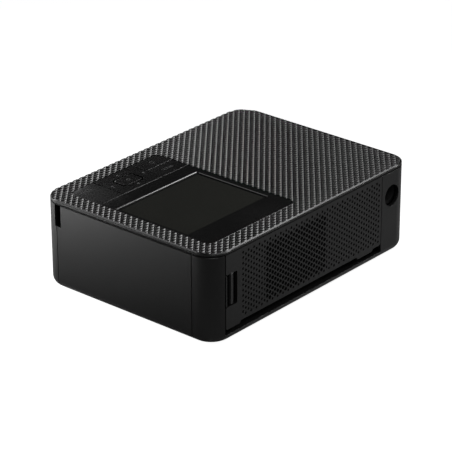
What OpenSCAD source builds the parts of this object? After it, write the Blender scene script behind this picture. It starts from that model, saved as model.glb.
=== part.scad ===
// Compact photo printer with a hinged ink door, a front cover and a thermal print drive.
// Axes: +X is the user's right, -Y is the front, +Y is the rear, +Z is up.
// The origin lies under the middle of the printer, on the surface its feet stand on.

/* [Body] */

// length of the printer, left to right
body_length = 182.2; // [182:0.2:184]
// depth of the printer, front to rear
body_depth = 133; // [132.8:0.2:134]
// height from the table to the rim of the cover
body_height = 57.6; // [57.4:0.2:59]
// radius of the upright corners, seen from above
corner_radius = 13.4; // [12.4:0.2:14]
// radius that rolls the walls under at the bottom
base_rounding = 5.4; // [4.6:0.2:5.8]
// height of the case's underside above the table
ground_gap = 1; // [0.8:0.1:1.2]
// thickness of the case wall
wall = 2.2; // [2:0.1:2.3]

/* [Cover and control panel] */

// height of the cover's side band
cover_band = 1.5; // [1.2:0.1:1.6]
// how far the cover's rim falls towards its outer edge
rim_drop = 0.4; // [0.2:0.05:0.6]
// width of the plain rim round the textured field
rim_width = 1.35; // [1.2:0.05:2]
// depth of the textured field under the rim
field_depth = 0.8; // [0.6:0.1:0.9]
// radius of the control panel's corners
panel_radius = 5; // [4:0.5:6]
// gap round the control panel
panel_gap = 0.4; // [0.3:0.05:0.5]
// depth of the screen below the panel's face
screen_depth = 0.8; // [0.6:0.1:1]
// run of the sloping wall along the front of the screen
screen_slope = 0.6; // [0.4:0.1:0.8]
// gap between neighbouring keys
key_gap = 0.3; // [0.3:0.02:0.4]
// travel of a key
key_travel = 0.5; // [0.3:0.05:0.5]

/* [Rear grille] */

// spacing of the grille's columns
hole_pitch_x = 4.74; // [4.6:0.02:5]
// spacing of the grille's rows
hole_pitch_z = 3.37; // [3.3:0.02:3.6]
// width of one hole
hole_width = 1.9; // [1.6:0.1:2.2]
// height of one hole
hole_height = 1.4; // [1.2:0.1:1.6]
// thickness of the rear panel
grille_thickness = 2; // [1.6:0.1:2]
// radius of the power socket's hole
socket_radius = 6.8; // [6.4:0.1:7]

/* [Doors] */

// thickness of both doors
door_thickness = 2.1; // [1.9:0.05:2.1]
// gap round a door
door_gap = 0.3; // [0.3:0.02:0.4]
// radius of a hinge pin
hinge_pin_radius = 1; // [0.8:0.05:1.1]
// clearance of a pin or shaft in its bearing
running_clearance = 0.06; // [0.04:0.01:0.08]

/* [Print drive] */

// module of the gears
gear_module = 0.8; // [0.78:0.01:0.82]
// teeth on the pinion and on the feed roller's gear
small_teeth = 12; // [12:1:12]
// teeth on the idler
idler_teeth = 30; // [29:1:31]
// teeth on the take-up gear
takeup_teeth = 20; // [19:1:21]
// radius of the platen roller
platen_radius = 5; // [4.6:0.1:5]
// radius of the full ribbon roll
supply_radius = 8.5; // [7:0.5:8.5]
// radius of the wound-up ribbon roll
takeup_radius = 7; // [5.5:0.5:7]

/* [Hidden] */

right = body_length / 2;
rear = body_depth / 2;
top = body_height;
fine = 48;
eps = 0.1;

// heights in the shell
split_z = 4;
floor_z = ground_gap + 2.2;
case_top = top - 2.1;
ring_z = case_top - 1.8;
cover_z = top - cover_band;
field_z = top - field_depth;
rim_bevel = [rim_width - 0.15, rim_drop];
seam_bevel = [0.5, 0.5];
no_bevel = [0, 0];
ring_inset = 7.5;

// control panel, as fixed distances from the case's right and rear sides
panel_x0 = right - 89.1;
panel_x1 = right - 12.85;
panel_y0 = -rear + 10.4;
panel_y1 = rear - 13.5;
panel_z = top - 0.35;
shelf_z = top - 2.6;
keys_y1 = panel_y0 + 25.35;
left_keys_x1 = panel_x0 + 22.25;
left_keys_split = panel_y0 + 12.5;
pad_x1 = panel_x0 + 56;
ok_x = panel_x0 + 39.2;
ok_y = panel_y0 + 13.1;
ok_size = [15.9, 10.9];
ok_radius = 2.5;
ok_gap = 0.8;
screen_x0 = panel_x0 + 3.9;
screen_x1 = panel_x1 - 1.75;
screen_y0 = panel_y0 + 36.5;
screen_y1 = panel_y1 - 17.9;
glass_z = panel_z - screen_depth;
glass_thickness = 0.8;
key_z = panel_z - 1.35;
stem_z = key_z - 0.8;
board_z = shelf_z - 2;
board_top = board_z + 1;

// the pad rocks on a ring: the ring's pins run in two posts, the pad's lugs on the ring's other pins
pad_reach = [13, 10.6];
pivot_z = board_top + 0.95;
pivot_radius = 0.25;
pivot_wall = 0.14;
ring_outer = [10, 7.5];
ring_inner = [8.55, 6.05];
lug_x = [10.35, 11];
post_y = [7.8, 8.5];

// rear wall
grille_x0 = right - 154.1;
grille_x1 = right - 10.7;
slot_z0 = 5.8;
slot_z1 = 10.1;
vent_x = [-9.5, 45.5];
vent_z = [13.6, 50.2];
socket_x = -right + 18.2;
socket_z = 39.75;
pocket_x = [right - 20.6, right - 11.85];
pocket_z = [23.25, 42.75];

// ink door and its hinge line
door_y0 = -rear + 12.6;
door_y1 = rear - 16.4;
door_z0 = split_z + door_gap;
door_z1 = case_top - 0.2;
hinge_x = right - 4.5;
hinge_y = door_y1 - 4.1;
hinge_sweep = 6.4;
boss_radius = 2;
bridge_z0 = 51.6;
bridge_z1 = 53.5;
frame_x = right - 5.6;
notch_y = [door_y0 - 1.6, door_y0 + 3.15];
notch_z = 41.25;

// front cover and its hinge line
front_x = [-48, 76];
front_z = [6.4, 31.3];
front_hinge_y = -rear + 4.5;
front_hinge_z = 10;
front_sweep = 6.1;
// the opened cover lies lower than its closed edge, so the sill under it is cut down
sill_gap = 1.2;

// chassis and rollers; every point is [y, z]
left_plate_x = -47;
right_plate_x = 74;
plate_thickness = 1;
paper_x = [-38, 67];
supply_at = [-35, 40];
takeup_at = [25, 40];
shell_radius = 10.8;
shell_wall = 1;
platen_at = [-5, 9.5];
feed_at = [12, 9.4];
feed_radius = 2.6;
pinch_at = [12, 15];
pickup_at = [-38, 24.6];
pickup_radius = 4;
head_pivot = [5, 41];
gear_x = -52.5;
gear_width = 4.5;
small_pitch = gear_module * small_teeth / 2;
idler_pitch = gear_module * idler_teeth / 2;
takeup_pitch = gear_module * takeup_teeth / 2;

// the idler's centre meshes with the feed gear and the take-up gear
reach_feed = small_pitch + idler_pitch;
reach_takeup = takeup_pitch + idler_pitch;
span = norm(takeup_at - feed_at);
along = (reach_feed * reach_feed - reach_takeup * reach_takeup + span * span) / (2 * span);
aside = sqrt(reach_feed * reach_feed - along * along);
way = (takeup_at - feed_at) / span;
idler_at = feed_at + along * way + aside * [-way[1], way[0]];
pinion_angle = 160;
pinion_at = idler_at + reach_feed * [cos(pinion_angle), sin(pinion_angle)];

// turn of a gear that meshes with a placed one; heading points from the placed gear to it
function heading(a, b) = atan2(b[1] - a[1], b[0] - a[0]);
function meshed(placed_turn, placed_teeth, teeth, a) =
    a + 180 - (180 - placed_teeth * (a - placed_turn)) / teeth;
idler_turn = 0;
feed_turn = meshed(idler_turn, idler_teeth, small_teeth, heading(idler_at, feed_at));
pinion_turn = meshed(idler_turn, idler_teeth, small_teeth, heading(idler_at, pinion_at));
takeup_turn = meshed(idler_turn, idler_teeth, takeup_teeth, heading(idler_at, takeup_at));

// fan behind the open part of the grille
fan_at = [18, 32];
fan_size = 40;
fan_y1 = rear - 0.1 - grille_thickness;
fan_depth = 10;

// feet
feet_x = 72;
feet_y = 50;
foot_radius = 5;
foot_height = ground_gap + 0.8;

shell_black = [0.075, 0.078, 0.082];
gloss_black = [0.03, 0.03, 0.033];
satin_black = [0.11, 0.113, 0.118];
glass_dark = [0.05, 0.06, 0.06];
rubber_black = [0.05, 0.05, 0.05];
steel = [0.62, 0.63, 0.65];
zinc = [0.55, 0.57, 0.58];
board_green = [0.05, 0.25, 0.13];
gear_white = [0.86, 0.86, 0.82];
case_grey = [0.4, 0.41, 0.43];
ribbon_brown = [0.3, 0.12, 0.06];

// ---- shared shapes ----

module box(x, y, z) {
    translate([x[0], y[0], z[0]]) cube([x[1] - x[0], y[1] - y[0], z[1] - z[0]]);
}

module area(x, y) {
    translate([x[0], y[0]]) square([x[1] - x[0], y[1] - y[0]]);
}

module round_area(x, y, r) {
    area([x[0] + r, x[1] - r], y);
    area(x, [y[0] + r, y[1] - r]);
    for (cx = [x[0] + r, x[1] - r], cy = [y[0] + r, y[1] - r]) {
        translate([cx, cy]) circle(r, $fn = fine);
    }
}

// a rod along each axis
module rod_x(x, at, r) {
    translate([x[0], at[0], at[1]]) rotate([0, 90, 0]) cylinder(h = x[1] - x[0], r = r, $fn = fine);
}

module rod_y(y, at, r) {
    translate([at[0], y[0], at[1]]) rotate([-90, 0, 0]) cylinder(h = y[1] - y[0], r = r, $fn = fine);
}

module rod_z(z, at, r) {
    translate([at[0], at[1], z[0]]) cylinder(h = z[1] - z[0], r = r, $fn = fine);
}

// a flat [y, z] drawing given thickness along X
module side_sheet(x0, thickness) {
    translate([x0, 0, 0]) rotate([90, 0, 90]) linear_extrude(thickness) children();
}

// a flat [x, z] drawing given thickness towards the front, from its rear face
module back_sheet(y1, thickness) {
    translate([0, y1, 0]) rotate([90, 0, 0]) linear_extrude(thickness) children();
}

module level_sheet(z0, thickness) {
    translate([0, 0, z0]) linear_extrude(thickness) children();
}

// upright section of the shell, from its middle out to r, rolled under and with a sloping top edge
module wall_section(r, z0, z1, roll, bevel) {
    edge_z = z1 - bevel[1];
    area([0, r], [z0 + roll, edge_z]);
    if (bevel[1] > 0) {
        polygon([[0, edge_z], [r, edge_z], [r - bevel[0], z1], [0, z1]]);
    }
    if (roll > 0) {
        area([0, r - roll], [z0, z0 + roll]);
        translate([r - roll, z0 + roll]) circle(roll, $fn = fine);
    }
}

module both_sides() {
    children();
    mirror([1, 0]) children();
}

module shell_body(inset, z0, z1, roll, bevel) {
    hx = right - inset;
    hy = rear - inset;
    r = corner_radius - inset;
    translate([0, hy - r, 0]) rotate([90, 0, 0]) linear_extrude(2 * (hy - r)) both_sides() {
        wall_section(hx, z0, z1, roll, bevel);
    }
    translate([-hx + r, 0, 0]) rotate([90, 0, 90]) linear_extrude(2 * (hx - r)) both_sides() {
        wall_section(hy, z0, z1, roll, bevel);
    }
    for (sx = [-1, 1], sy = [-1, 1]) {
        translate([sx * (hx - r), sy * (hy - r), 0]) rotate_extrude($fn = 96) {
            wall_section(r, z0, z1, roll, bevel);
        }
    }
}

module shell_plan(inset) {
    round_area([inset - right, right - inset], [inset - rear, rear - inset], corner_radius - inset);
}

// toothed wheel outline with its first tooth on the +u side
module gear_outline(teeth) {
    pitch = gear_module * teeth / 2;
    root = pitch - 1.15 * gear_module;
    tip = pitch + 0.75 * gear_module;
    step = 360 / teeth;
    shape = [[root, 0.27], [pitch, 0.19], [tip, 0.09]];
    polygon([
        for (i = [0 : teeth - 1])
            for (p = [[0, -1], [1, -1], [2, -1], [2, 1], [1, 1], [0, 1]])
                let (s = shape[p[0]], a = step * (i + p[1] * s[1]))
                    [s[0] * cos(a), s[0] * sin(a)]
    ]);
}

module gear(at, teeth, turn, bore, hub_x, hub_radius) {
    difference() {
        union() {
            side_sheet(gear_x, gear_width) translate(at) rotate(turn) gear_outline(teeth);
            rod_x(hub_x, at, hub_radius);
        }
        rod_x([hub_x[0] - 10, hub_x[1] + 10], at, bore);
    }
}

// ---- shell ----

module base_tray() color(shell_black) {
    difference() {
        intersection() {
            shell_body(0, ground_gap, case_top, base_rounding, no_bevel);
            box([-right, right], [-rear, rear], [0, split_z]);
        }
        level_sheet(floor_z, 5) shell_plan(3);
        for (sx = [-1, 1], sy = [-1, 1]) {
            rod_z([0, foot_height], [sx * feet_x, sy * feet_y], foot_radius);
        }
    }
    difference() {
        rod_z([floor_z, 5.7], [hinge_x, hinge_y], boss_radius);
        rod_z([floor_z, 6], [hinge_x, hinge_y], hinge_pin_radius);
    }
    for (at = [[-82, -22], [-82, 44], [-52, -27]]) {
        rod_z([floor_z, 51], at, 2.4);
    }
    for (at = [[-80, -34], [-55, -34]]) {
        rod_z([floor_z, 19.8], at, 2.4);
    }
}

module hinge_room() {
    rod_z([split_z - eps, top], [hinge_x, hinge_y], hinge_sweep);
}

module front_hinge_bosses(r, reach) {
    rod_x([front_x[0] - 3, front_x[0] - reach], [front_hinge_y, front_hinge_z], r);
    rod_x([front_x[1] + reach, front_x[1] + 3], [front_hinge_y, front_hinge_z], r);
}

module main_case() color(shell_black) {
    difference() {
        union() {
            difference() {
                intersection() {
                    shell_body(0, ground_gap, case_top, base_rounding, seam_bevel);
                    box([-right, right], [-rear, rear], [split_z, top]);
                }
                level_sheet(split_z - eps, ring_z - split_z + eps) shell_plan(wall);
                level_sheet(ring_z - eps, 4) shell_plan(ring_inset);
            }
            // bridge that carries the ink door's upper hinge
            box([77, frame_x], [hinge_y - 12, hinge_y - hinge_sweep], [bridge_z0, ring_z + eps]);
            box([77, 84], [hinge_y + hinge_sweep, hinge_y + 12], [bridge_z0, ring_z + eps]);
            box([77, 80.1], [hinge_y - 12, hinge_y + 12], [bridge_z0, bridge_z1]);
            front_hinge_bosses(2.6, 0);
            for (x = [[front_x[0] - 3, front_x[0]], [front_x[1], front_x[1] + 3]]) {
                box(x, [-rear + wall - eps, front_hinge_y], [8, 12]);
            }
        }
        // ink door: its panel, the swing of its hinged edge and the finger notch
        box([right - 2.5, right + 5], [door_y0 - door_gap, door_y1 + 0.45], [0, top]);
        hinge_room();
        box([right - 3, right + 5], notch_y, [notch_z, top]);
        // rear panel
        box([grille_x0 - 0.2, grille_x1 + 0.2], [rear - wall - 0.5, rear + 5], [slot_z0, top]);
        rod_y([rear - wall - 3, rear + 1], [socket_x, socket_z], socket_radius);
        // front cover
        box(front_x, [-rear - 5, -rear + wall + eps], [front_z[0] - sill_gap, front_z[1] + door_gap]);
        rod_x([front_x[0], front_x[1]], [front_hinge_y, front_hinge_z], front_sweep);
        front_hinge_bosses(hinge_pin_radius + 0.2, -1);
        // card slot and USB port
        box([-76, -52], [-rear - 5, -rear + 5], [22, 25.4]);
        box([-70.4, -56.6], [-rear - 5, -rear + 5], [12.2, 17.6]);
    }
    difference() {
        union() {
            box([77, hinge_x], [hinge_y - 1.8, hinge_y + 1.8], [bridge_z0, bridge_z1]);
            rod_z([49, bridge_z1], [hinge_x, hinge_y], boss_radius);
        }
        rod_z([48, 53], [hinge_x, hinge_y], hinge_pin_radius);
    }
}

module panel_plan(grow) {
    round_area([panel_x0 - grow, panel_x1 + grow], [panel_y0 - grow, panel_y1 + grow], panel_radius + grow);
}

module top_cover() color(shell_black) {
    difference() {
        union() {
            shell_body(0, cover_z, top, 0, rim_bevel);
            level_sheet(case_top + 0.3, cover_z - case_top) shell_plan(1);
            level_sheet(shelf_z - 1, 2.4) panel_plan(2);
            for (at = [[-84, -54], [-84, 54], [0, -60], [0, 60], [-86, 0]]) {
                rod_z([case_top, case_top + 1], at, 2.4);
            }
        }
        difference() {
            level_sheet(field_z, 2) shell_plan(rim_width);
            level_sheet(field_z - 1, 4) panel_plan(0.2);
        }
        level_sheet(shelf_z, 5) panel_plan(panel_gap);
        level_sheet(shelf_z - 2, 5) panel_plan(-1.4);
    }
}

module grille_outline() {
    low = slot_z1 - 1.6;
    polygon([
        [grille_x0 + 0.2, slot_z1 + 1], [grille_x0 + 1.2, slot_z1], [-56, slot_z1], [-54, low], [-40.5, low],
        [-39, slot_z1], [67, slot_z1], [68.5, low], [grille_x1 - 1.2, low], [grille_x1 - 0.2, low + 1],
        [grille_x1 - 0.2, pocket_z[0] - 1.3], [grille_x1 - 1.2, pocket_z[0] - 0.3],
        [pocket_x[0] + 0.8, pocket_z[0] - 0.3], [pocket_x[0], pocket_z[0] + 0.5],
        [pocket_x[0], pocket_z[1] - 0.5], [pocket_x[0] + 0.8, pocket_z[1] + 0.3],
        [grille_x1 - 1.2, pocket_z[1] + 0.3], [grille_x1 - 0.2, pocket_z[1] + 1.3],
        [grille_x1 - 0.2, case_top - 0.1], [grille_x0 + 0.2, case_top - 0.1]
    ]);
}

module grille_holes() {
    for (half = [0, 1]) {
        for (i = [-20 : 20], j = [-8 : 8]) {
            x = fan_at[0] + (i + half / 2) * hole_pitch_x;
            z = fan_at[1] + (j + half / 2) * hole_pitch_z;
            if (x > vent_x[0] && x < vent_x[1] && z > vent_z[0] && z < vent_z[1]) {
                translate([x, z]) polygon([
                    [-hole_width / 2, 0], [0, -hole_height / 2], [hole_width / 2, 0], [0, hole_height / 2]
                ]);
            }
        }
    }
}

module rear_grille() color(satin_black) {
    back_sheet(rear - 0.1, grille_thickness) difference() {
        grille_outline();
        grille_holes();
    }
}

// latch pocket let into the rear panel's edge, with its upright rib and edge tab
module rear_pocket() color(shell_black) {
    z = [pocket_z[0] + 0.1, pocket_z[1] - 0.1];
    box([pocket_x[0] + 0.2, grille_x1 - 0.2], [rear - 5.4, rear - 4.2], z);
    box([pocket_x[0] + 3.5, pocket_x[0] + 6.25], [rear - 4.3, rear - 0.8], z);
    box([pocket_x[1], grille_x1 - 0.2], [rear - 4.3, rear - 0.1], z);
    box([pocket_x[0] + 0.2, pocket_x[0] + 1], [rear - 4.3, rear - 2.3], z);
    for (z0 = [z[0], z[1] - 0.8]) {
        box([pocket_x[0] + 0.2, grille_x1 - 0.2], [rear - 4.3, rear - 2.3], [z0, z0 + 0.8]);
    }
}

module foot(sx, sy) {
    color(rubber_black) difference() {
        rod_z([0, foot_height], [sx * feet_x, sy * feet_y], foot_radius);
        rod_z([-1, 0.3], [sx * feet_x, sy * feet_y], foot_radius - 2);
    }
}

module foot_front_left() foot(-1, -1);
module foot_front_right() foot(1, -1);
module foot_rear_left() foot(-1, 1);
module foot_rear_right() foot(1, 1);

// ---- control panel ----

module control_bezel() color(gloss_black) {
    difference() {
        union() {
            level_sheet(panel_z - 1.65, 1.65) intersection() {
                panel_plan(0);
                area([panel_x0, panel_x1], [keys_y1 + 0.15, panel_y1]);
            }
            level_sheet(shelf_z, 1) intersection() {
                difference() {
                    panel_plan(0);
                    panel_plan(-3);
                }
                area([panel_x0, panel_x1], [keys_y1 + 1, panel_y1]);
            }
        }
        box([screen_x0, screen_x1], [screen_y0, screen_y1], [shelf_z - 1, top]);
        side_sheet(screen_x0, screen_x1 - screen_x0) polygon([
            [screen_y0 + eps, glass_z], [screen_y0, glass_z],
            [screen_y0 - 2 * screen_slope, glass_z + 2 * screen_depth], [screen_y0 + eps, glass_z + 2 * screen_depth]
        ]);
    }
}

module lcd_glass() color(glass_dark) {
    box([screen_x0 + 0.1, screen_x1 - 0.1], [screen_y0 + 0.1, screen_y1 - 0.1], [glass_z - glass_thickness, glass_z]);
}

module lcd_module() color(zinc) {
    z1 = glass_z - glass_thickness;
    box([screen_x0 + 1, screen_x1 - 1], [screen_y0 + 1, screen_y1 - 1], [z1 - 2.6, z1]);
    box([screen_x0 + 24, screen_x0 + 44], [screen_y0 - 8, screen_y0 + 1.5], [z1 - 2.6, z1 - 2.3]);
}

module key_centres() {
    for (at = [
        [panel_x0 + 11, panel_y0 + 18.9], [panel_x0 + 11, panel_y0 + 6.4], [ok_x, ok_y], [panel_x1 - 10, ok_y]
    ]) {
        translate([at[0], at[1], 0]) children();
    }
}

module pad_centres() {
    for (at = [[-pad_reach[0], 0], [pad_reach[0], 0], [0, -pad_reach[1]], [0, pad_reach[1]]]) {
        translate([ok_x + at[0], ok_y + at[1], 0]) children();
    }
}

module key_board() color(board_green) {
    box([panel_x0 + 0.6, panel_x1 - 0.6], [panel_y0 + 0.7, keys_y1 + 2], [board_z, board_top]);
    key_centres() translate([0, 0, board_top]) cylinder(h = 0.3, r = 2, $fn = fine);
    pad_centres() translate([0, 0, board_top]) cylinder(h = 0.3, r = 1.6, $fn = fine);
}

module key_cap(x, y) {
    level_sheet(key_z, panel_z - key_z) intersection() {
        panel_plan(0);
        area(x, y);
    }
}

module home_key() color(gloss_black) {
    key_cap([panel_x0, left_keys_x1 - key_gap / 2], [left_keys_split + key_gap / 2, keys_y1 - key_gap / 2]);
    rod_z([stem_z, key_z + eps], [panel_x0 + 11, panel_y0 + 18.9], 1.5);
}

module power_key() color(gloss_black) {
    key_cap([panel_x0, left_keys_x1 - key_gap / 2], [panel_y0, left_keys_split - key_gap / 2]);
    rod_z([stem_z, key_z + eps], [panel_x0 + 11, panel_y0 + 6.4], 1.5);
}

module ok_area(grow) {
    round_area(
        [ok_x - ok_size[0] / 2 - grow, ok_x + ok_size[0] / 2 + grow],
        [ok_y - ok_size[1] / 2 - grow, ok_y + ok_size[1] / 2 + grow],
        ok_radius + grow
    );
}

module nav_pad() color(gloss_black) {
    difference() {
        key_cap([left_keys_x1 + key_gap / 2, pad_x1 - key_gap / 2], [panel_y0, keys_y1 - key_gap / 2]);
        level_sheet(key_z - 1, 5) ok_area(ok_gap);
    }
    pad_centres() rod_z([stem_z, key_z + eps], [0, 0], 1.2);
    // lugs on the ring's side pins
    bore = pivot_radius + running_clearance;
    difference() {
        for (x = [lug_x, [-lug_x[1], -lug_x[0]]]) {
            box(ok_x * [1, 1] + x, [ok_y - 0.8, ok_y + 0.8], [pivot_z - bore - pivot_wall, key_z + eps]);
        }
        rod_x([ok_x - ring_outer[0] - 2, ok_x + ring_outer[0] + 2], [ok_y, pivot_z], bore);
    }
}

// rocking ring under the pad: it tips left and right, and the pad tips front and back on it
module nav_gimbal() color(case_grey) {
    difference() {
        union() {
            level_sheet(pivot_z - 0.2, 0.4) translate([ok_x, ok_y]) square(2 * ring_outer, center = true);
            rod_x([ok_x - lug_x[1] - 0.1, ok_x + lug_x[1] + 0.1], [ok_y, pivot_z], pivot_radius);
            rod_y([ok_y - post_y[1] - 0.1, ok_y + post_y[1] + 0.1], [ok_x, pivot_z], pivot_radius);
        }
        level_sheet(pivot_z - 1, 2) translate([ok_x, ok_y]) square(2 * ring_inner, center = true);
    }
}

module pad_posts() color(case_grey) {
    bore = pivot_radius + running_clearance;
    difference() {
        for (y = [post_y, [-post_y[1], -post_y[0]]]) {
            box([ok_x - 0.8, ok_x + 0.8], ok_y * [1, 1] + y, [board_top, pivot_z + bore + pivot_wall]);
        }
        rod_y([ok_y - ring_outer[1] - 3, ok_y + ring_outer[1] + 3], [ok_x, pivot_z], bore);
    }
}

module ok_key() color(gloss_black) {
    level_sheet(key_z, panel_z - key_z + 0.1) ok_area(0);
    rod_z([stem_z, key_z + eps], [ok_x, ok_y], 1.5);
}

module print_key() color(satin_black) {
    key_cap([pad_x1 + key_gap / 2, panel_x1], [panel_y0, keys_y1 - key_gap / 2]);
    rod_z([stem_z, key_z + eps], [panel_x1 - 10, ok_y], 1.5);
}

// ---- ink door ----

module ink_door() color(satin_black) {
    difference() {
        union() {
            difference() {
                intersection() {
                    shell_body(0, ground_gap, door_z1, base_rounding, seam_bevel);
                    box([right - door_thickness, right + 1], [door_y0, door_y1], [door_z0, door_z1]);
                }
                box([right - 3, right + 5], notch_y, [notch_z, top]);
            }
            for (z = [[6, 11], [43, 48.7]]) {
                rod_z(z, [hinge_x, hinge_y], boss_radius);
                box([hinge_x, right - door_thickness + eps], [hinge_y - 2, hinge_y + 1.6], z);
            }
            // stiffening ribs and the catch that holds the door shut
            for (z = [14, 26, 38]) {
                box([right - 2.9, right - door_thickness + eps], [door_y0 + 4, hinge_y - 6], [z, z + 1]);
            }
            box([right - 4.9, right - door_thickness + eps], [door_y0 + 1.1, door_y0 + 2.4], [34, 38]);
            box([right - 4.9, right - 4.1], [door_y0 + 1.1, door_y0 + 2.9], [34, 38]);
        }
        rod_z([5, 12], [hinge_x, hinge_y], hinge_pin_radius + running_clearance);
        rod_z([42, 50], [hinge_x, hinge_y], hinge_pin_radius + running_clearance);
    }
}

module ink_door_pins() color(steel) {
    for (z = [[floor_z, 10.6], [43.4, 53]]) {
        rod_z(z, [hinge_x, hinge_y], hinge_pin_radius);
    }
}

// inner wall behind the ink door, with the way in for the ink cassette
module ink_bay_frame() color(shell_black) {
    side_sheet(frame_x, 2) difference() {
        area([-53, hinge_y - hinge_sweep - 0.2], [floor_z, ring_z]);
        round_area([-47.2, 37.4], [13, 51.4], 3);
        area([-52.2, -49.4], [21.6, 31.8]);
        area([-54, -50], [33.5, 38.5]);
    }
}

module eject_lever() color(case_grey) {
    box([frame_x - 1.6, frame_x - 0.4], [-52.8, -48.6], [20.4, 27.6]);
    box([frame_x - 0.5, right - 2.9], [-51.8, -49.8], [22, 26]);
}

// ---- front cover ----

module front_door() color(satin_black) {
    at = [front_hinge_y, front_hinge_z];
    difference() {
        union() {
            intersection() {
                shell_body(0, ground_gap, case_top, base_rounding, no_bevel);
                box([front_x[0] + door_gap, front_x[1] - door_gap], [-rear - 1, -rear + door_thickness], front_z);
            }
            for (x = [[front_x[0] + 0.3, front_x[0] + 5], [front_x[1] - 5, front_x[1] - 0.3]]) {
                rod_x(x, at, 2);
                box(x, [-rear + door_thickness - eps, front_hinge_y], [front_hinge_z - 1.6, front_hinge_z + 2]);
            }
            for (x = [-20, 14, 47]) {
                box([x, x + 1], [-rear + door_thickness - eps, -rear + 3], [front_hinge_z, front_z[1] - 3]);
            }
        }
        rod_x([front_x[0] - 1, front_x[0] + 6], at, hinge_pin_radius + 0.2 + running_clearance);
        rod_x([front_x[1] - 6, front_x[1] + 1], at, hinge_pin_radius + 0.2 + running_clearance);
    }
}

module front_door_pins() color(steel) {
    for (x = [[front_x[0] - 3, front_x[0] + 4.5], [front_x[1] - 4.5, front_x[1] + 3]]) {
        rod_x(x, [front_hinge_y, front_hinge_z], hinge_pin_radius + 0.2);
    }
}

// ---- power socket, fan, boards ----

module dc_jack() color(gloss_black) {
    at = [socket_x, socket_z];
    difference() {
        union() {
            rod_y([rear - 14, rear - wall - 1], at, 8);
            box([socket_x - 6, socket_x + 6], [rear - 17, rear - 13], [socket_z - 7, socket_z + 7]);
        }
        rod_y([rear - 12, rear], at, 4.6);
        rod_y([rear - 13.5, rear - 11], at, 1.1);
    }
}

module jack_pin() color(steel) {
    rod_y([rear - 13.5, rear - 4.6], [socket_x, socket_z], 1.1);
}

module fan_frame() color(gloss_black) {
    half = fan_size / 2;
    y0 = fan_y1 - fan_depth;
    difference() {
        box([fan_at[0] - half, fan_at[0] + half], [y0, fan_y1], [fan_at[1] - half, fan_at[1] + half]);
        rod_y([y0 + 1.5, fan_y1 + 1], fan_at, half - 1);
        back_sheet(y0 + 2, 4) difference() {
            translate(fan_at) circle(half - 1, $fn = fine);
            translate(fan_at) circle(9, $fn = fine);
            for (a = [90, 210, 330]) {
                translate(fan_at) rotate(a) translate([0, -1.2]) square([half, 2.4]);
            }
        }
        for (sx = [-16, 16], sz = [-16, 16]) {
            rod_y([y0 - 1, fan_y1 + 1], fan_at + [sx, sz], 1.7);
        }
    }
    rod_y([y0 + 1, y0 + 4], fan_at, 1.5);
}

module fan_rotor() color(gloss_black) {
    y0 = fan_y1 - fan_depth + 2.2;
    difference() {
        union() {
            rod_y([y0, y0 + 7], fan_at, 8.5);
            for (i = [0 : 6]) {
                translate([fan_at[0], y0 + 3.5, fan_at[1]]) rotate([0, i * 360 / 7, 0]) {
                    translate([7.6, 0, 0]) rotate([40, 0, 0]) translate([0, -4, -0.45]) cube([10.2, 8, 0.9]);
                }
            }
        }
        rod_y([y0 - 1, y0 + 2.2], fan_at, 1.5 + running_clearance);
        rod_y([y0 + 6.7, y0 + 8], fan_at, 6.5);
    }
}

module main_board() color(board_green) {
    difference() {
        box([-85, -4], [-48, 47], [51, 52.4]);
        for (at = [[-82, -22], [-82, 44], [-52, -27]]) {
            rod_z([50, 54], at, 1);
        }
    }
    // connectors below, chips above
    for (y = [-40, -12, 16]) {
        box([-84, -78], [y, y + 14], [46.5, 51]);
    }
    box([-60, -40], [-6, 14], [52.4, 53.5]);
    box([-34, -22], [-10, 4], [52.4, 53.3]);
    box([-30, -12], [20, 34], [52.4, 53.5]);
}

module port_board() color(board_green) {
    box([-84, -50], [-61, -30], [19.8, 21.2]);
    box([-76, -60], [-36, -32], [21.2, 24]);
}

module card_slot() color(steel) {
    y = [-rear + wall, -38];
    difference() {
        box([-76.6, -51.4], y, [21.2, 26]);
        box([-76, -52], [y[0] - 1, y[1] - 1.5], [22, 25.4]);
    }
}

module usb_port() color(steel) {
    y = [-rear + wall, -50];
    difference() {
        box([-71, -56], y, [11.6, 18.2]);
        box([-70.4, -56.6], [y[0] - 1, y[1] - 1.5], [12.2, 17.6]);
    }
    box([-69.4, -57.6], [y[0] + 1, y[1] - 1], [15.2, 16.8]);
    for (x = [-69, -60]) {
        box([x, x + 2], [y[1] - 4, y[1] - 2], [18.1, 19.8]);
    }
}

// ---- chassis ----

module shaft_hole(at, r) {
    translate(at) circle(r + running_clearance, $fn = fine);
}

module left_side_plate() color(zinc) {
    side_sheet(left_plate_x, plate_thickness) difference() {
        polygon([
            [-44, 20], [-44, 30], [-30, 34], [-10, 46], [36, 49], [44, 40], [44, floor_z], [-22, floor_z], [-22, 20]
        ]);
        shaft_hole(platen_at, 1.5);
        shaft_hole(feed_at, 1.5);
        shaft_hole(pinch_at, 1.2);
        shaft_hole(pickup_at, 1.5);
        shaft_hole(takeup_at, 3);
    }
}

module right_side_plate() color(zinc) {
    side_sheet(right_plate_x, plate_thickness) difference() {
        polygon([
            [-44, 20], [-44, 28.6], [-26, 28.6], [-14, 14.2], [3.6, 14.2], [9.4, 22], [2.4, 34], [2.4, 44], [8, 44],
            [14, 30], [20, 26], [44, 26], [44, floor_z], [-22, floor_z], [-22, 20]
        ]);
        shaft_hole(platen_at, 1.5);
        shaft_hole(feed_at, 1.5);
        shaft_hole(pinch_at, 1.2);
        shaft_hole(pickup_at, 1.5);
    }
}

module paper_bay_floor() color(case_grey) {
    box([-45.6, 73.6], [-57.6, -21], [6.6, 7.8]);
    for (x = [-45.6, -16, 14, 44, 72.4]) {
        box([x, x + 1.2], [-56, -22], [floor_z, 6.7]);
    }
}

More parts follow.
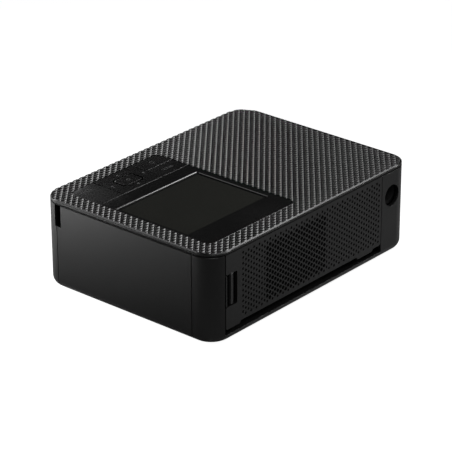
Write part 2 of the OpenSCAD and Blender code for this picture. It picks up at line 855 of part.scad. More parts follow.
module paper_bay_roof() color(case_grey) {
    box([-45.6, 73.6], [-rear + 3.6, -44], [25.2, 26.4]);
    for (x = [-45.6, 72.4]) {
        box([x, x + 1.2], [-57.6, -44], [7.8, 25.3]);
    }
}

// paper guides between the feed roller and the slot in the rear wall
module lower_guide() color(case_grey) {
    side_sheet(-44, 116) polygon([
        [16, floor_z], [16, 11], [18, 11.4], [44, 5.6], [rear - wall, 5.6], [rear - wall, split_z],
        [43, split_z], [18, 9.6], [17.4, floor_z]
    ]);
    for (x = [-44, -15, 14, 43, 70.8]) {
        side_sheet(x, 1.2) polygon([[17, floor_z], [17, 9.8], [42, 4.6], [42, floor_z]]);
    }
}

module upper_guide() color(case_grey) {
    side_sheet(-44, 116) polygon([
        [17, 13.4], [17, 15], [26, 13.6], [48, 11.6], [fan_y1 - 0.3, 11.6], [fan_y1 - 0.3, 10.4], [44, 10.4]
    ]);
    box([-46, -44], [40, 43], [10.6, 14]);
    box([72, 74], [40, 43], [10.6, 14]);
}

// ---- rollers and gears ----

module platen_roller() color(rubber_black) {
    rod_x(paper_x, platen_at, platen_radius);
    rod_x([left_plate_x - 0.8, right_plate_x + 1.8], platen_at, 1.5);
}

module feed_roller() color(steel) {
    rod_x(paper_x, feed_at, feed_radius);
    rod_x([gear_x - 0.5, right_plate_x + 1.8], feed_at, 1.5);
}

module pinch_roller() color(rubber_black) {
    rod_x(paper_x, pinch_at, feed_radius);
    rod_x([left_plate_x - 0.2, right_plate_x + 1.8], pinch_at, 1.2);
}

module pickup_roller() color(rubber_black) {
    for (x = [2, 20]) {
        rod_x([x, x + 8], pickup_at, pickup_radius);
    }
    rod_x([left_plate_x - 0.2, right_plate_x + 1.8], pickup_at, 1.5);
}

module feed_gear() color(gear_white) {
    gear(feed_at, small_teeth, feed_turn, 1.5, [gear_x, gear_x + gear_width], 3);
}

module takeup_gear() color(gear_white) {
    gear(takeup_at, takeup_teeth, takeup_turn, 3, [gear_x, gear_x + gear_width], 4.5);
}

module idler_gear() color(gear_white) {
    gear(idler_at, idler_teeth, idler_turn, 2 + running_clearance, [gear_x - 0.6, gear_x + gear_width + 0.4], 4);
}

module idler_stud() color(steel) {
    rod_x([gear_x - 1.4, left_plate_x], idler_at, 2);
}

module motor_pinion() color(steel) {
    side_sheet(gear_x, gear_width) translate(pinion_at) rotate(pinion_turn) gear_outline(small_teeth);
    rod_x([-60, gear_x + 0.5], pinion_at, 1);
}

module motor_can() color(zinc) {
    difference() {
        union() {
            rod_x([-84, -56], pinion_at, 12);
            rod_x([-86, -84], pinion_at, 4);
        }
        rod_x([-62, -55], pinion_at, 1 + running_clearance);
    }
}

module motor_bracket() color(zinc) {
    at = pinion_at;
    difference() {
        side_sheet(-56, 1) area([at[0] - 15, at[0] + 20], [18, 46]);
        rod_x([-57, -54], at, 4);
    }
    for (p = [[-18, 22], [-18, 37], [10, 44.5]]) {
        rod_x([-55.1, left_plate_x], p, 1.8);
    }
}

// ---- ink cassette and print head ----

module spool_tube(at, slot_y) {
    side_sheet(-43, 123) difference() {
        translate(at) circle(shell_radius, $fn = fine);
        translate(at) circle(shell_radius - shell_wall, $fn = fine);
        area(slot_y, [at[1] - 12, at[1] - 3.5]);
    }
}

module cassette_end(x0, thickness) {
    side_sheet(x0, thickness) difference() {
        union() {
            for (at = [supply_at, takeup_at]) {
                translate(at) circle(shell_radius, $fn = fine);
            }
            area([supply_at[0], takeup_at[0]], [46.4, 50.8]);
        }
        for (at = [supply_at, takeup_at]) {
            shaft_hole(at, 3);
        }
    }
}

module ribbon_case() color(case_grey) {
    spool_tube(supply_at, [supply_at[0] + 1.5, supply_at[0] + 12]);
    spool_tube(takeup_at, [takeup_at[0] - 12, takeup_at[0] - 3]);
    cassette_end(-44, 1.2);
    cassette_end(79.8, 1.4);
    box([81, 84], [-12, 2], [47, 50]);
}

// the ribbon runs from under the supply roll, beneath the print head, up to the take-up roll
ribbon_path = [
    [supply_at[0], supply_at[1] - supply_radius - 0.5], [-25, 30], [-12, 15.5], [2, 15.5],
    [14.5, 30], [takeup_at[0] - takeup_radius - 0.6, takeup_at[1]]
];
ribbon_thickness = 0.2;

function square_to(v) = [-v[1], v[0]] / norm(v);
function ribbon_step(i) = ribbon_path[i + 1] - ribbon_path[i];
function ribbon_normal(i) =
    let (
        before = square_to(ribbon_step(max(i - 1, 0))),
        after = square_to(ribbon_step(min(i, len(ribbon_path) - 2)))
    ) (before + after) / (1 + before * after);

module ribbon_film() color(ribbon_brown) {
    back = [for (i = [len(ribbon_path) - 1 : -1 : 0]) ribbon_path[i] - ribbon_thickness * ribbon_normal(i)];
    side_sheet(paper_x[0], paper_x[1] - paper_x[0] - 1) polygon(concat(ribbon_path, back));
}

module spool(at, left_end) {
    rod_x([-42, 79], at, 5);
    rod_x([-40.4, -39.4], at, 9);
    rod_x([67.4, 68.4], at, 9);
    rod_x([left_end, 81.6], at, 3);
}

module supply_spool() color(gear_white) spool(supply_at, -44.8);
module takeup_spool() color(gear_white) spool(takeup_at, gear_x - 0.5);

module ribbon_roll(at, r) {
    color(ribbon_brown) difference() {
        rod_x([paper_x[0], paper_x[1] - 1], at, r);
        rod_x([paper_x[0] - 1, paper_x[1]], at, 5);
    }
}

module supply_ribbon() ribbon_roll(supply_at, supply_radius);
module takeup_ribbon() ribbon_roll(takeup_at, takeup_radius);

module head_shaft() color(steel) {
    rod_x([left_plate_x + 1, right_plate_x], head_pivot, 1.5);
}

module head_arm() color(zinc) {
    for (x = [-40.2, 68]) {
        difference() {
            side_sheet(x, 1.4) polygon([
                [-9, 19], [1, 19], [4, 34], [7.6, 38.6], [7.6, 43], [5, 44.2], [2, 43], [-1, 37], [-9, 34.2]
            ]);
            rod_x([x - 1, x + 3], head_pivot, 1.5 + running_clearance);
        }
    }
    box([-39.5, 68.5], [-9, 1], [32.6, 34.2]);
}

module thermal_head() color(zinc) {
    box([-38.8, 68], [-9, 1], [19, 22]);
    box([-36, 66], [-7, -1], [16.7, 19.1]);
    for (y = [-9, -6.2, -3.4, -0.6]) {
        box([-38.8, 68], [y, y + 1], [21.9, 32.6]);
    }
}

base_tray();
main_case();
top_cover();
rear_grille();
rear_pocket();
control_bezel();
lcd_glass();
lcd_module();
key_board();
home_key();
power_key();
pad_posts();
nav_gimbal();
nav_pad();
ok_key();
print_key();
ink_door();
ink_door_pins();
ink_bay_frame();
eject_lever();
front_door();
front_door_pins();
foot_front_left();
foot_front_right();
foot_rear_left();
foot_rear_right();
dc_jack();
jack_pin();
fan_frame();
fan_rotor();
main_board();
port_board();
card_slot();
usb_port();
left_side_plate();
right_side_plate();
paper_bay_floor();
paper_bay_roof();
lower_guide();
upper_guide();
platen_roller();
feed_roller();
feed_gear();
pinch_roller();
pickup_roller();
motor_can();
motor_bracket();
motor_pinion();
idler_gear();
idler_stud();
ribbon_case();
ribbon_film();
supply_spool();
supply_ribbon();
takeup_spool();
takeup_ribbon();
takeup_gear();
head_shaft();
head_arm();
thermal_head();
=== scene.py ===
"""Compact photo printer: finishes, knurled top, perforated rear panel, small parts, studio and camera.

Everything is in metres in the printer's own frame: +X is the user's right, -Y the front, +Z up.
"""

import math

import bmesh
import bpy
from mathutils import Matrix, Vector
from mathutils.geometry import delaunay_2d_cdt


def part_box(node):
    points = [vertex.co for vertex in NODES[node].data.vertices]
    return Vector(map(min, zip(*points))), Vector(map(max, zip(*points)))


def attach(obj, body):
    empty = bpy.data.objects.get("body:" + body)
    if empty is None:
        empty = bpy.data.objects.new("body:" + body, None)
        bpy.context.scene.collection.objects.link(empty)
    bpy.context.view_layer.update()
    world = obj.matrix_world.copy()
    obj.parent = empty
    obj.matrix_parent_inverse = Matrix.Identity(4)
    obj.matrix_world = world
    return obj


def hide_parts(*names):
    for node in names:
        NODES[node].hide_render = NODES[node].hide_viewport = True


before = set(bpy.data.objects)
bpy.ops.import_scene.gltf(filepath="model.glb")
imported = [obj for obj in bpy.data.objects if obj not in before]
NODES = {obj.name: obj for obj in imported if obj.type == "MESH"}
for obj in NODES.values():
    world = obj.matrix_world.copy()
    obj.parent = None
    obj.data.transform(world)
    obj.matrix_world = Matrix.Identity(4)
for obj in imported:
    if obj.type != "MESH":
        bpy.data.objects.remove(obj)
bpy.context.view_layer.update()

MM = 0.001
PRINTER = "printer"


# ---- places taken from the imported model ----


def node_box(name):
    """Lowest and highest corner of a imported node, in millimetres."""
    low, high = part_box(name)
    return low / MM, high / MM


case_high = node_box("main_case")[1]
cover_high = node_box("top_cover")[1]
bezel_low, bezel_high = node_box("control_bezel")
grille_low, grille_high = node_box("rear_grille")
glass_low, glass_high = node_box("lcd_glass")
pad_low, pad_high = node_box("nav_pad")
ok_low, ok_high = node_box("ok_key")

RIGHT = case_high.x
REAR = case_high.y
TOP = cover_high.z
CORNER_RADIUS = 13.4
CASE_EDGE_Z = case_high.z
COVER_EDGE_Z = TOP - 1.5

# plain rim round the knurl, and the floor of the field that it encloses
RIM_WIDTH = 1.35
RIM_INNER = RIM_WIDTH - 0.03
FIELD_Z = TOP - 0.8
RIM_STEP = (0.63, 0.24)
FRONT_CUT = 0.62

# knurl of the cover: rhombic hollows on a centred lattice, with narrow flat lands between them
KNURL_PITCH = (5.165, 4.25)
KNURL_SINK = 0.02
KNURL_DEPTH = 0.55
KNURL_LAND = (0.3, 0.06)
KNURL_BREAK = 0.02
KNURL_TIP = 0.05

# control panel, its screen and its keys
PANEL_X = (bezel_low.x, bezel_high.x)
PANEL_Y = (pad_low.y, bezel_high.y)
PANEL_Z = bezel_high.z
PANEL_RADIUS = 5.0
PANEL_GAP = 0.4
SCREEN_X = (glass_low.x - 0.1, glass_high.x + 0.1)
SCREEN_Y = (glass_low.y - 0.1, glass_high.y + 0.1)
GLASS_Z = glass_high.z
GASKET_HEIGHT = 0.42
KEY_ROOT_Z = PANEL_Z - 1.35
OK_AT = tuple((a + b) / 2 for a, b in zip(ok_low, ok_high))
OK_HALF = tuple((b - a) / 2 for a, b in zip(ok_low, ok_high))
OK_RADIUS = 2.5
OK_GAP = 0.8
KEY_CHAMFER = 0.18
POWER_SIGN_AT = (13.0, -49.7)
MENU_SIGN_AT = (13.0, -37.2)
PRINT_SIGN_AT = (70.0, -50.6)

# rear panel: one lattice of small rhombic hollows, cut through where the fan breathes
HOLE_PITCH = (4.74, 3.37)
VENT_SIZE = (2.55, 2.4)
DIMPLE_SIZE = (1.55, 1.85)
HOLE_LIP = 0.08
DIMPLE_DEPTH = 1.3
FAN_AT = (18.0, 32.0)
VENT_X = (-9.5, 45.5)
VENT_Z = (13.6, 50.2)
DIMPLE_X = (-61.4, 67.6)
DIMPLE_Z = (12.0, 53.6)
PERFORATED_THICKNESS = 2.0
POCKET_X = RIGHT - 20.6
POCKET_Z = (23.25, 42.75)
SLOT_ROOF = 1.55


# ---- meshes ----


def make_piece(name, verts, faces, material, body=PRINTER, smooth=False):
    """A mesh piece from points in millimetres, riding on a body."""
    mesh = bpy.data.meshes.new(name)
    mesh.from_pydata([Vector(v) * MM for v in verts], [], faces)
    return finish_piece(name, mesh, material, body, smooth)


def finish_piece(name, mesh, material, body=PRINTER, smooth=False):
    """Puts a mesh in metres into the scene as a piece that rides on a body."""
    mesh.validate()
    mesh.update()
    if smooth:
        mesh.set_sharp_from_angle(angle=math.radians(35))
        mesh.polygons.foreach_set("use_smooth", [True] * len(mesh.polygons))
    mesh.materials.append(material)
    piece = bpy.data.objects.new(name, mesh)
    bpy.context.scene.collection.objects.link(piece)
    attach(piece, body)
    return piece


def from_bmesh(name, bm, material, body=PRINTER, smooth=False):
    """Turns a bmesh in millimetres into a piece."""
    bmesh.ops.scale(bm, vec=(MM, MM, MM), verts=bm.verts)
    mesh = bpy.data.meshes.new(name)
    bm.to_mesh(mesh)
    bm.free()
    return finish_piece(name, mesh, material, body, smooth)


def face_outwards(mesh, join=0.0):
    """Turns the faces of a closed mesh outwards, after joining points nearer than a distance in metres."""
    bm = bmesh.new()
    bm.from_mesh(mesh)
    if join:
        bmesh.ops.remove_doubles(bm, verts=bm.verts, dist=join)
    bmesh.ops.recalc_face_normals(bm, faces=bm.faces)
    bm.to_mesh(mesh)
    bm.free()


def round_piece(piece, width, segments=2):
    """Rounds sharp edges by a small real radius, or breaks them with one flat chamfer.

    It is done by modifiers, so the mesh's own points stay where they are.
    """
    mesh = piece.data
    if "custom_normal" in mesh.attributes:
        mesh.attributes.remove(mesh.attributes["custom_normal"])
    mesh.polygons.foreach_set("use_smooth", [True] * len(mesh.polygons))
    weld = piece.modifiers.new("weld", "WELD")
    weld.merge_threshold = 0.002 * MM
    if width:
        bevel = piece.modifiers.new("edge_radius", "BEVEL")
        bevel.width = width * MM
        bevel.segments = segments
        bevel.limit_method = "ANGLE"
        bevel.angle_limit = math.radians(30)
        bevel.use_clamp_overlap = False
        bevel.harden_normals = segments > 1
        bevel.mark_sharp = segments == 1
    even = piece.modifiers.new("even_normals", "WEIGHTED_NORMAL")
    even.keep_sharp = True


def join_rings(first, second, count):
    """Quads between two closed rings, each given by the number of its first point."""
    quads = []
    for i in range(count):
        j = (i + 1) % count
        quads.append([first + i, first + j, second + j, second + i])
    return quads


def add_wall(verts, faces, rings, close=False):
    """Joins equal rings of [x, y, z] in turn; close adds a floor to the last one."""
    starts = []
    for ring in rings:
        starts.append(len(verts))
        verts.extend(ring)
    count = len(rings[0])
    for first, second in zip(starts, starts[1:]):
        faces.extend(join_rings(first, second, count))
    if close:
        faces.append([starts[-1] + i for i in range(count)])


def add_flat(verts, faces, points, triangles):
    """Adds a flat sheet of triangles, given by its own points and their numbers."""
    start = len(verts)
    verts.extend(points)
    faces.extend([start + i for i in triangle] for triangle in triangles)


def rounded_rectangle(x, y, radius, steps=8):
    """Points round a rectangle with round corners, anticlockwise."""
    points = []
    for cx, cy, start in (
        (x[1] - radius, y[1] - radius, 0),
        (x[0] + radius, y[1] - radius, 90),
        (x[0] + radius, y[0] + radius, 180),
        (x[1] - radius, y[0] + radius, 270),
    ):
        for i in range(steps + 1):
            a = math.radians(start + 90 * i / steps)
            points.append((cx + radius * math.cos(a), cy + radius * math.sin(a)))
    return points


def inside_convex(point, outline):
    """True where a point lies inside an anticlockwise convex outline."""
    for i, (ax, ay) in enumerate(outline):
        bx, by = outline[(i + 1) % len(outline)]
        if (bx - ax) * (point[1] - ay) - (by - ay) * (point[0] - ax) < 0:
            return False
    return True


def lattice(pitch, x, y, middle=(0.0, 0.0)):
    """Sites of a centred rectangular lattice that lie in a rectangle."""
    sites = []
    for half in (0.0, 0.5):
        first_i = math.floor((x[0] - middle[0]) / pitch[0]) - 1
        last_i = math.ceil((x[1] - middle[0]) / pitch[0]) + 1
        first_j = math.floor((y[0] - middle[1]) / pitch[1]) - 1
        last_j = math.ceil((y[1] - middle[1]) / pitch[1]) + 1
        for i in range(first_i, last_i + 1):
            for j in range(first_j, last_j + 1):
                u = middle[0] + (i + half) * pitch[0]
                v = middle[1] + (j + half) * pitch[1]
                if x[0] <= u <= x[1] and y[0] <= v <= y[1]:
                    sites.append((u, v))
    return sites


def flat_with_holes(outline, rings):
    """Triangles of an outline with its holes left out: (points, faces)."""
    loops = [outline] + rings
    points, faces = [], []
    for loop in loops:
        faces.append(list(range(len(points), len(points) + len(loop))))
        points.extend(Vector(p) for p in loop)
    made = delaunay_2d_cdt(points, [], faces, 1, 1e-6)
    kept = [face for face, source in zip(made[2], made[5]) if source == [0]]
    return [tuple(v) for v in made[0]], kept


# ---- shader groups shared by the finishes ----


def new_group(name, inputs, outputs):
    """An empty shader group with named sockets: inputs are (name, kind, default)."""
    group = bpy.data.node_groups.new(name, "ShaderNodeTree")
    for socket, kind, default in inputs:
        made = group.interface.new_socket(socket, in_out="INPUT", socket_type=kind)
        if default is not None:
            made.default_value = default
    for socket, kind in outputs:
        group.interface.new_socket(socket, in_out="OUTPUT", socket_type=kind)
    return group, group.nodes.new("NodeGroupInput"), group.nodes.new("NodeGroupOutput")


def wire(tree, source, target):
    tree.links.new(source, target)


def math_node(tree, operation, a, b=None, clamp=False):
    """A math node's output; each input is a number or another node's output."""
    node = tree.nodes.new("ShaderNodeMath")
    node.operation = operation
    node.use_clamp = clamp
    for socket, value in zip(node.inputs, (a, b)):
        if value is None:
            continue
        if isinstance(value, (int, float)):
            socket.default_value = value
        else:
            wire(tree, value, socket)
    return node.outputs[0]


def noise(tree, vector, scale, detail=3.0, roughness=0.5):
    """A noise texture's value; the scale is a number or another node's output."""
    node = tree.nodes.new("ShaderNodeTexNoise")
    node.inputs["Detail"].default_value = detail
    node.inputs["Roughness"].default_value = roughness
    wire(tree, vector, node.inputs["Vector"])
    if isinstance(scale, (int, float)):
        node.inputs["Scale"].default_value = scale
    else:
        wire(tree, scale, node.inputs["Scale"])
    return node.outputs["Fac"]


def spread(tree, value, low, high, to_low, to_high):
    """Maps a value from one range to another and holds it there."""
    node = tree.nodes.new("ShaderNodeMapRange")
    for socket, number in zip(("From Min", "From Max", "To Min", "To Max"), (low, high, to_low, to_high)):
        node.inputs[socket].default_value = number
    wire(tree, value, node.inputs["Value"])
    return node.outputs["Result"]


def build_moulded_grain():
    """Spark-eroded grain of a moulding: fine pits with a slower waviness under them."""
    group, given, result = new_group(
        "moulded_grain",
        [("Grain Size", "NodeSocketFloat", 0.35), ("Waviness", "NodeSocketFloat", 0.3)],
        [("Height", "NodeSocketFloat"), ("Shade", "NodeSocketFloat")],
    )
    place = group.nodes.new("ShaderNodeTexCoord").outputs["Object"]
    scale = math_node(group, "DIVIDE", 1000.0, given.outputs["Grain Size"])
    pits = group.nodes.new("ShaderNodeTexVoronoi")
    pits.feature = "SMOOTH_F1"
    pits.inputs["Smoothness"].default_value = 0.6
    wire(group, place, pits.inputs["Vector"])
    wire(group, scale, pits.inputs["Scale"])
    fine = noise(group, place, scale, detail=2.0, roughness=0.6)
    slow = noise(group, place, 60.0, detail=2.0)
    grain = math_node(group, "ADD", pits.outputs["Distance"], fine)
    swell = math_node(group, "MULTIPLY", slow, given.outputs["Waviness"])
    wire(group, math_node(group, "ADD", grain, swell), result.inputs["Height"])
    wire(group, spread(group, fine, 0.3, 0.7, 0.0, 1.0), result.inputs["Shade"])
    return group


def build_edge_wear():
    """Mask of edges that hands and cloths have polished, broken up by a soft noise."""
    group, given, result = new_group(
        "edge_wear",
        [("Reach", "NodeSocketFloat", 0.0006), ("Amount", "NodeSocketFloat", 0.5)],
        [("Mask", "NodeSocketFloat")],
    )
    place = group.nodes.new("ShaderNodeTexCoord").outputs["Object"]
    rounded = group.nodes.new("ShaderNodeBevel")
    rounded.samples = 4
    wire(group, given.outputs["Reach"], rounded.inputs["Radius"])
    flat = group.nodes.new("ShaderNodeNewGeometry").outputs["Normal"]
    bend = group.nodes.new("ShaderNodeVectorMath")
    bend.operation = "DOT_PRODUCT"
    wire(group, rounded.outputs["Normal"], bend.inputs[0])
    wire(group, flat, bend.inputs[1])
    edge = spread(group, bend.outputs["Value"], 0.985, 0.8, 0.0, 1.0)
    broken = spread(group, noise(group, place, 320.0, detail=4.0), 0.35, 0.6, 0.0, 1.0)
    mask = math_node(group, "MULTIPLY", edge, broken)
    mask = math_node(group, "MULTIPLY", mask, given.outputs["Amount"], clamp=True)
    wire(group, mask, result.inputs["Mask"])
    return group


def build_handling():
    """Slow patches where fingers and dust have changed the shine a little."""
    group, given, result = new_group(
        "handling",
        [("Scale", "NodeSocketFloat", 26.0)],
        [("Smear", "NodeSocketFloat"), ("Dust", "NodeSocketFloat")],
    )
    place = group.nodes.new("ShaderNodeTexCoord").outputs["Object"]
    smear = noise(group, place, given.outputs["Scale"], detail=5.0, roughness=0.6)
    wire(group, spread(group, smear, 0.35, 0.68, 0.0, 1.0), result.inputs["Smear"])
    specks = noise(group, place, 2600.0, detail=1.0)
    up = group.nodes.new("ShaderNodeSeparateXYZ")
    wire(group, group.nodes.new("ShaderNodeNewGeometry").outputs["Normal"], up.inputs[0])
    lying = spread(group, up.outputs["Z"], 0.5, 1.0, 0.0, 1.0)
    dust = spread(group, specks, 0.7, 0.78, 0.0, 1.0)
    wire(group, math_node(group, "MULTIPLY", dust, lying), result.inputs["Dust"])
    return group


def build_brushed():
    """Fine drawn lines of sheet and turned metal, along one axis of the part."""
    group, given, result = new_group(
        "brushed",
        [("Along", "NodeSocketVector", (1.0, 40.0, 40.0)), ("Fineness", "NodeSocketFloat", 60.0)],
        [("Height", "NodeSocketFloat"), ("Shade", "NodeSocketFloat")],
    )
    place = group.nodes.new("ShaderNodeTexCoord").outputs["Object"]
    stretch = group.nodes.new("ShaderNodeVectorMath")
    stretch.operation = "MULTIPLY"
    wire(group, place, stretch.inputs[0])
    wire(group, given.outputs["Along"], stretch.inputs[1])
    lines = noise(group, stretch.outputs["Vector"], given.outputs["Fineness"], detail=4.0, roughness=0.7)
    wire(group, lines, result.inputs["Height"])
    wire(group, spread(group, lines, 0.3, 0.7, 0.0, 1.0), result.inputs["Shade"])
    return group


GRAIN = build_moulded_grain()
WEAR = build_edge_wear()
HANDLING = build_handling()
BRUSHED = build_brushed()


# ---- finishes ----


def place_group(tree, group, **values):
    """Places a shared group in a material with its own values."""
    node = tree.nodes.new("ShaderNodeGroup")
    node.node_tree = group
    for name, value in values.items():
        node.inputs[name.replace("_", " ")].default_value = value
    return node


def new_finish(name):
    """A new material: (material, its node tree, its shader)."""
    material = bpy.data.materials.new(name)
    material.use_nodes = True
    return material, material.node_tree, material.node_tree.nodes["Principled BSDF"]


def mix_colour(tree, mask, under, over):
    """Lays one colour over another by a mask; each is numbers or another node's output."""
    node = tree.nodes.new("ShaderNodeMix")
    node.data_type = "RGBA"
    wire(tree, mask, node.inputs["Factor"])
    for name, colour in (("A", under), ("B", over)):
        if isinstance(colour, tuple):
            node.inputs[name].default_value = (*colour, 1.0)
        else:
            wire(tree, colour, node.inputs[name])
    return node.outputs["Result"]


def grey(level):
    """A neutral colour."""
    return (level, level, level)


def bump(tree, shader, height, distance, strength=1.0):
    """Adds relief to a shader; the distance is in millimetres."""
    node = tree.nodes.new("ShaderNodeBump")
    node.inputs["Distance"].default_value = distance * MM
    node.inputs["Strength"].default_value = strength
    wire(tree, height, node.inputs["Height"])
    wire(tree, node.outputs["Normal"], shader.inputs["Normal"])


def moulded_plastic(name, dark, light, roughness, grain_size=0.35, grain_depth=0.006, gloss=0.5, wear=0.25):
    """Moulded plastic with its grain, a little polish on the edges and faint handling."""
    material, tree, shader = new_finish(name)
    grain = place_group(tree, GRAIN, Grain_Size=grain_size)
    edges = place_group(tree, WEAR, Amount=wear)
    hands = place_group(tree, HANDLING)
    colour = mix_colour(tree, grain.outputs["Shade"], dark, light)
    worn = tuple(min(1.0, c * 1.4 + 0.003) for c in light)
    colour = mix_colour(tree, edges.outputs["Mask"], colour, worn)
    dusty = tuple(c * 0.6 + 0.1 for c in light)
    dust = math_node(tree, "MULTIPLY", hands.outputs["Dust"], 0.03)
    wire(tree, mix_colour(tree, dust, colour, dusty), shader.inputs["Base Color"])
    shine = spread(tree, hands.outputs["Smear"], 0.0, 1.0, roughness - 0.03, roughness + 0.05)
    polished = math_node(tree, "MULTIPLY", edges.outputs["Mask"], -0.06)
    wire(tree, math_node(tree, "ADD", shine, polished, clamp=True), shader.inputs["Roughness"])
    shader.inputs["Specular IOR Level"].default_value = gloss
    bump(tree, shader, grain.outputs["Height"], grain_depth)
    return material


def metal_finish(name, colour, shade, roughness, along=(1.0, 40.0, 40.0), depth=0.004):
    """Drawn or turned metal with its lines and slightly polished edges."""
    material, tree, shader = new_finish(name)
    lines = place_group(tree, BRUSHED, Along=along)
    edges = place_group(tree, WEAR, Amount=0.6, Reach=0.0003)
    base = mix_colour(tree, lines.outputs["Shade"], shade, colour)
    bright = tuple(min(1.0, c * 1.15) for c in colour)
    wire(tree, mix_colour(tree, edges.outputs["Mask"], base, bright), shader.inputs["Base Color"])
    shine = spread(tree, lines.outputs["Shade"], 0.0, 1.0, roughness - 0.06, roughness + 0.08)
    wire(tree, shine, shader.inputs["Roughness"])
    shader.inputs["Metallic"].default_value = 1.0
    bump(tree, shader, lines.outputs["Height"], depth)
    return material


def rubber_finish(name, dark, light, roughness=0.72):
    """Matt rubber with pale dust on its upper faces."""
    material, tree, shader = new_finish(name)
    grain = place_group(tree, GRAIN, Grain_Size=0.18, Waviness=0.6)
    hands = place_group(tree, HANDLING, Scale=90.0)
    colour = mix_colour(tree, grain.outputs["Shade"], dark, light)
    dust = math_node(tree, "MULTIPLY", hands.outputs["Dust"], 0.5)
    wire(tree, mix_colour(tree, dust, colour, (0.12, 0.12, 0.115)), shader.inputs["Base Color"])
    shine = spread(tree, hands.outputs["Smear"], 0.0, 1.0, roughness - 0.08, roughness + 0.1)
    wire(tree, shine, shader.inputs["Roughness"])
    shader.inputs["Specular IOR Level"].default_value = 0.3
    bump(tree, shader, grain.outputs["Height"], 0.02)
    return material


def board_finish(name):
    """Solder-masked circuit board: copper tracks showing faintly through the green."""
    material, tree, shader = new_finish(name)
    place = tree.nodes.new("ShaderNodeTexCoord").outputs["Object"]
    tracks = tree.nodes.new("ShaderNodeTexBrick")
    tracks.offset = 0.37
    tracks.inputs["Scale"].default_value = 190.0
    tracks.inputs["Mortar Size"].default_value = 0.03
    tracks.inputs["Color1"].default_value = (0.008, 0.07, 0.035, 1)
    tracks.inputs["Color2"].default_value = (0.01, 0.085, 0.042, 1)
    tracks.inputs["Mortar"].default_value = (0.03, 0.16, 0.07, 1)
    wire(tree, place, tracks.inputs["Vector"])
    wire(tree, tracks.outputs["Color"], shader.inputs["Base Color"])
    pores = noise(tree, place, 900.0, detail=2.0)
    wire(tree, spread(tree, pores, 0.3, 0.7, 0.25, 0.4), shader.inputs["Roughness"])
    shader.inputs["Coat Weight"].default_value = 0.3
    bump(tree, shader, tracks.outputs["Fac"], 0.03, 0.6)
    return material


def screen_finish(name):
    """Dark window: the panel under it shows a shade lighter and faintly green inside its mask."""
    material, tree, shader = new_finish(name)
    place = tree.nodes.new("ShaderNodeTexCoord").outputs["Object"]
    axes = tree.nodes.new("ShaderNodeSeparateXYZ")
    wire(tree, place, axes.inputs[0])
    inside = []
    spans = (("X", glass_low.x, glass_high.x, 1.6), ("Y", glass_low.y, glass_high.y, 1.5))
    for axis, low, high, border in spans:
        middle, half = (low + high) / 2 * MM, ((high - low) / 2 - border) * MM
        off = math_node(tree, "ABSOLUTE", math_node(tree, "SUBTRACT", axes.outputs[axis], middle))
        inside.append(spread(tree, off, half, half - 0.1 * MM, 0.0, 1.0))
    active = math_node(tree, "MULTIPLY", *inside, clamp=True)
    colour = mix_colour(tree, active, grey(0.004), (0.0145, 0.0148, 0.0127))
    wire(tree, colour, shader.inputs["Base Color"])
    hands = place_group(tree, HANDLING, Scale=34.0)
    wire(tree, spread(tree, hands.outputs["Smear"], 0.0, 1.0, 0.11, 0.16), shader.inputs["Roughness"])
    shader.inputs["Specular IOR Level"].default_value = 0.4
    ripple = noise(tree, place, 45.0, detail=1.0)
    bump(tree, shader, ripple, 0.004)
    return material


def film_finish(name, colour, shade):
    """Dye ribbon: thin shiny film in wound layers."""
    material, tree, shader = new_finish(name)
    layers = place_group(tree, BRUSHED, Along=(1.0, 25.0, 25.0), Fineness=90.0)
    wire(tree, mix_colour(tree, layers.outputs["Shade"], shade, colour), shader.inputs["Base Color"])
    wire(tree, spread(tree, layers.outputs["Shade"], 0.0, 1.0, 0.16, 0.3), shader.inputs["Roughness"])
    bump(tree, shader, layers.outputs["Height"], 0.01)
    return material


CASE_BLACK = moulded_plastic("satin_case_black", grey(0.0015), grey(0.0025), 0.36, gloss=0.35)
DOOR_BLACK = moulded_plastic("satin_door_black", grey(0.002), grey(0.003), 0.36, gloss=0.38)
REAR_BLACK = moulded_plastic("rear_panel_black", grey(0.002), grey(0.003), 0.38, gloss=0.38)
KNURL_BLACK = moulded_plastic("knurled_cover_black", grey(0.003), grey(0.0045), 0.2, 0.5, 0.002, 0.5, 0.2)
PANEL_BLACK = moulded_plastic("panel_gloss_black", grey(0.0025), grey(0.0035), 0.15, 0.6, 0.0003, 0.45, 0.05)
KEY_BLACK = moulded_plastic("key_black", grey(0.0025), grey(0.004), 0.2, 0.5, 0.0003, 0.45, 0.05)
INNER_BLACK = moulded_plastic("inner_black", grey(0.006), grey(0.01), 0.55, 0.5, 0.008, 0.3, 0.1)
INNER_GREY = moulded_plastic(
    "inner_dark_grey", (0.045, 0.046, 0.05), (0.065, 0.066, 0.07), 0.5, 0.45, 0.008, 0.4, 0.2
)
SHELL_GREY = moulded_plastic("cassette_grey", (0.11, 0.112, 0.12), (0.15, 0.152, 0.16), 0.45, 0.4, 0.008, 0.4)
LEVER_GREY = moulded_plastic("lever_light_grey", (0.3, 0.31, 0.33), (0.38, 0.39, 0.41), 0.4, 0.4, wear=0.2)
GEAR_WHITE = moulded_plastic(
    "gear_natural", (0.62, 0.61, 0.55), (0.72, 0.71, 0.65), 0.36, 0.4, 0.004, wear=0.15
)
SPOOL_WHITE = moulded_plastic("spool_white", (0.6, 0.6, 0.58), (0.7, 0.7, 0.68), 0.42, 0.4, 0.004, wear=0.15)
MARK_GREY = moulded_plastic(
    "key_mark_grey", (0.022, 0.022, 0.0225), (0.032, 0.032, 0.0325), 0.5, 0.5, 0.001, 0.3, 0.05
)
# Near-black black with almost no shine: painted shade for slots, holes, seams, the latch pocket, the jack and
# the parts seen through the vents and slot
SHADE_BLACK = moulded_plastic("painted_shade_black", grey(0.0012), grey(0.002), 0.75, 0.5, 0.01, 0.08, 0.05)
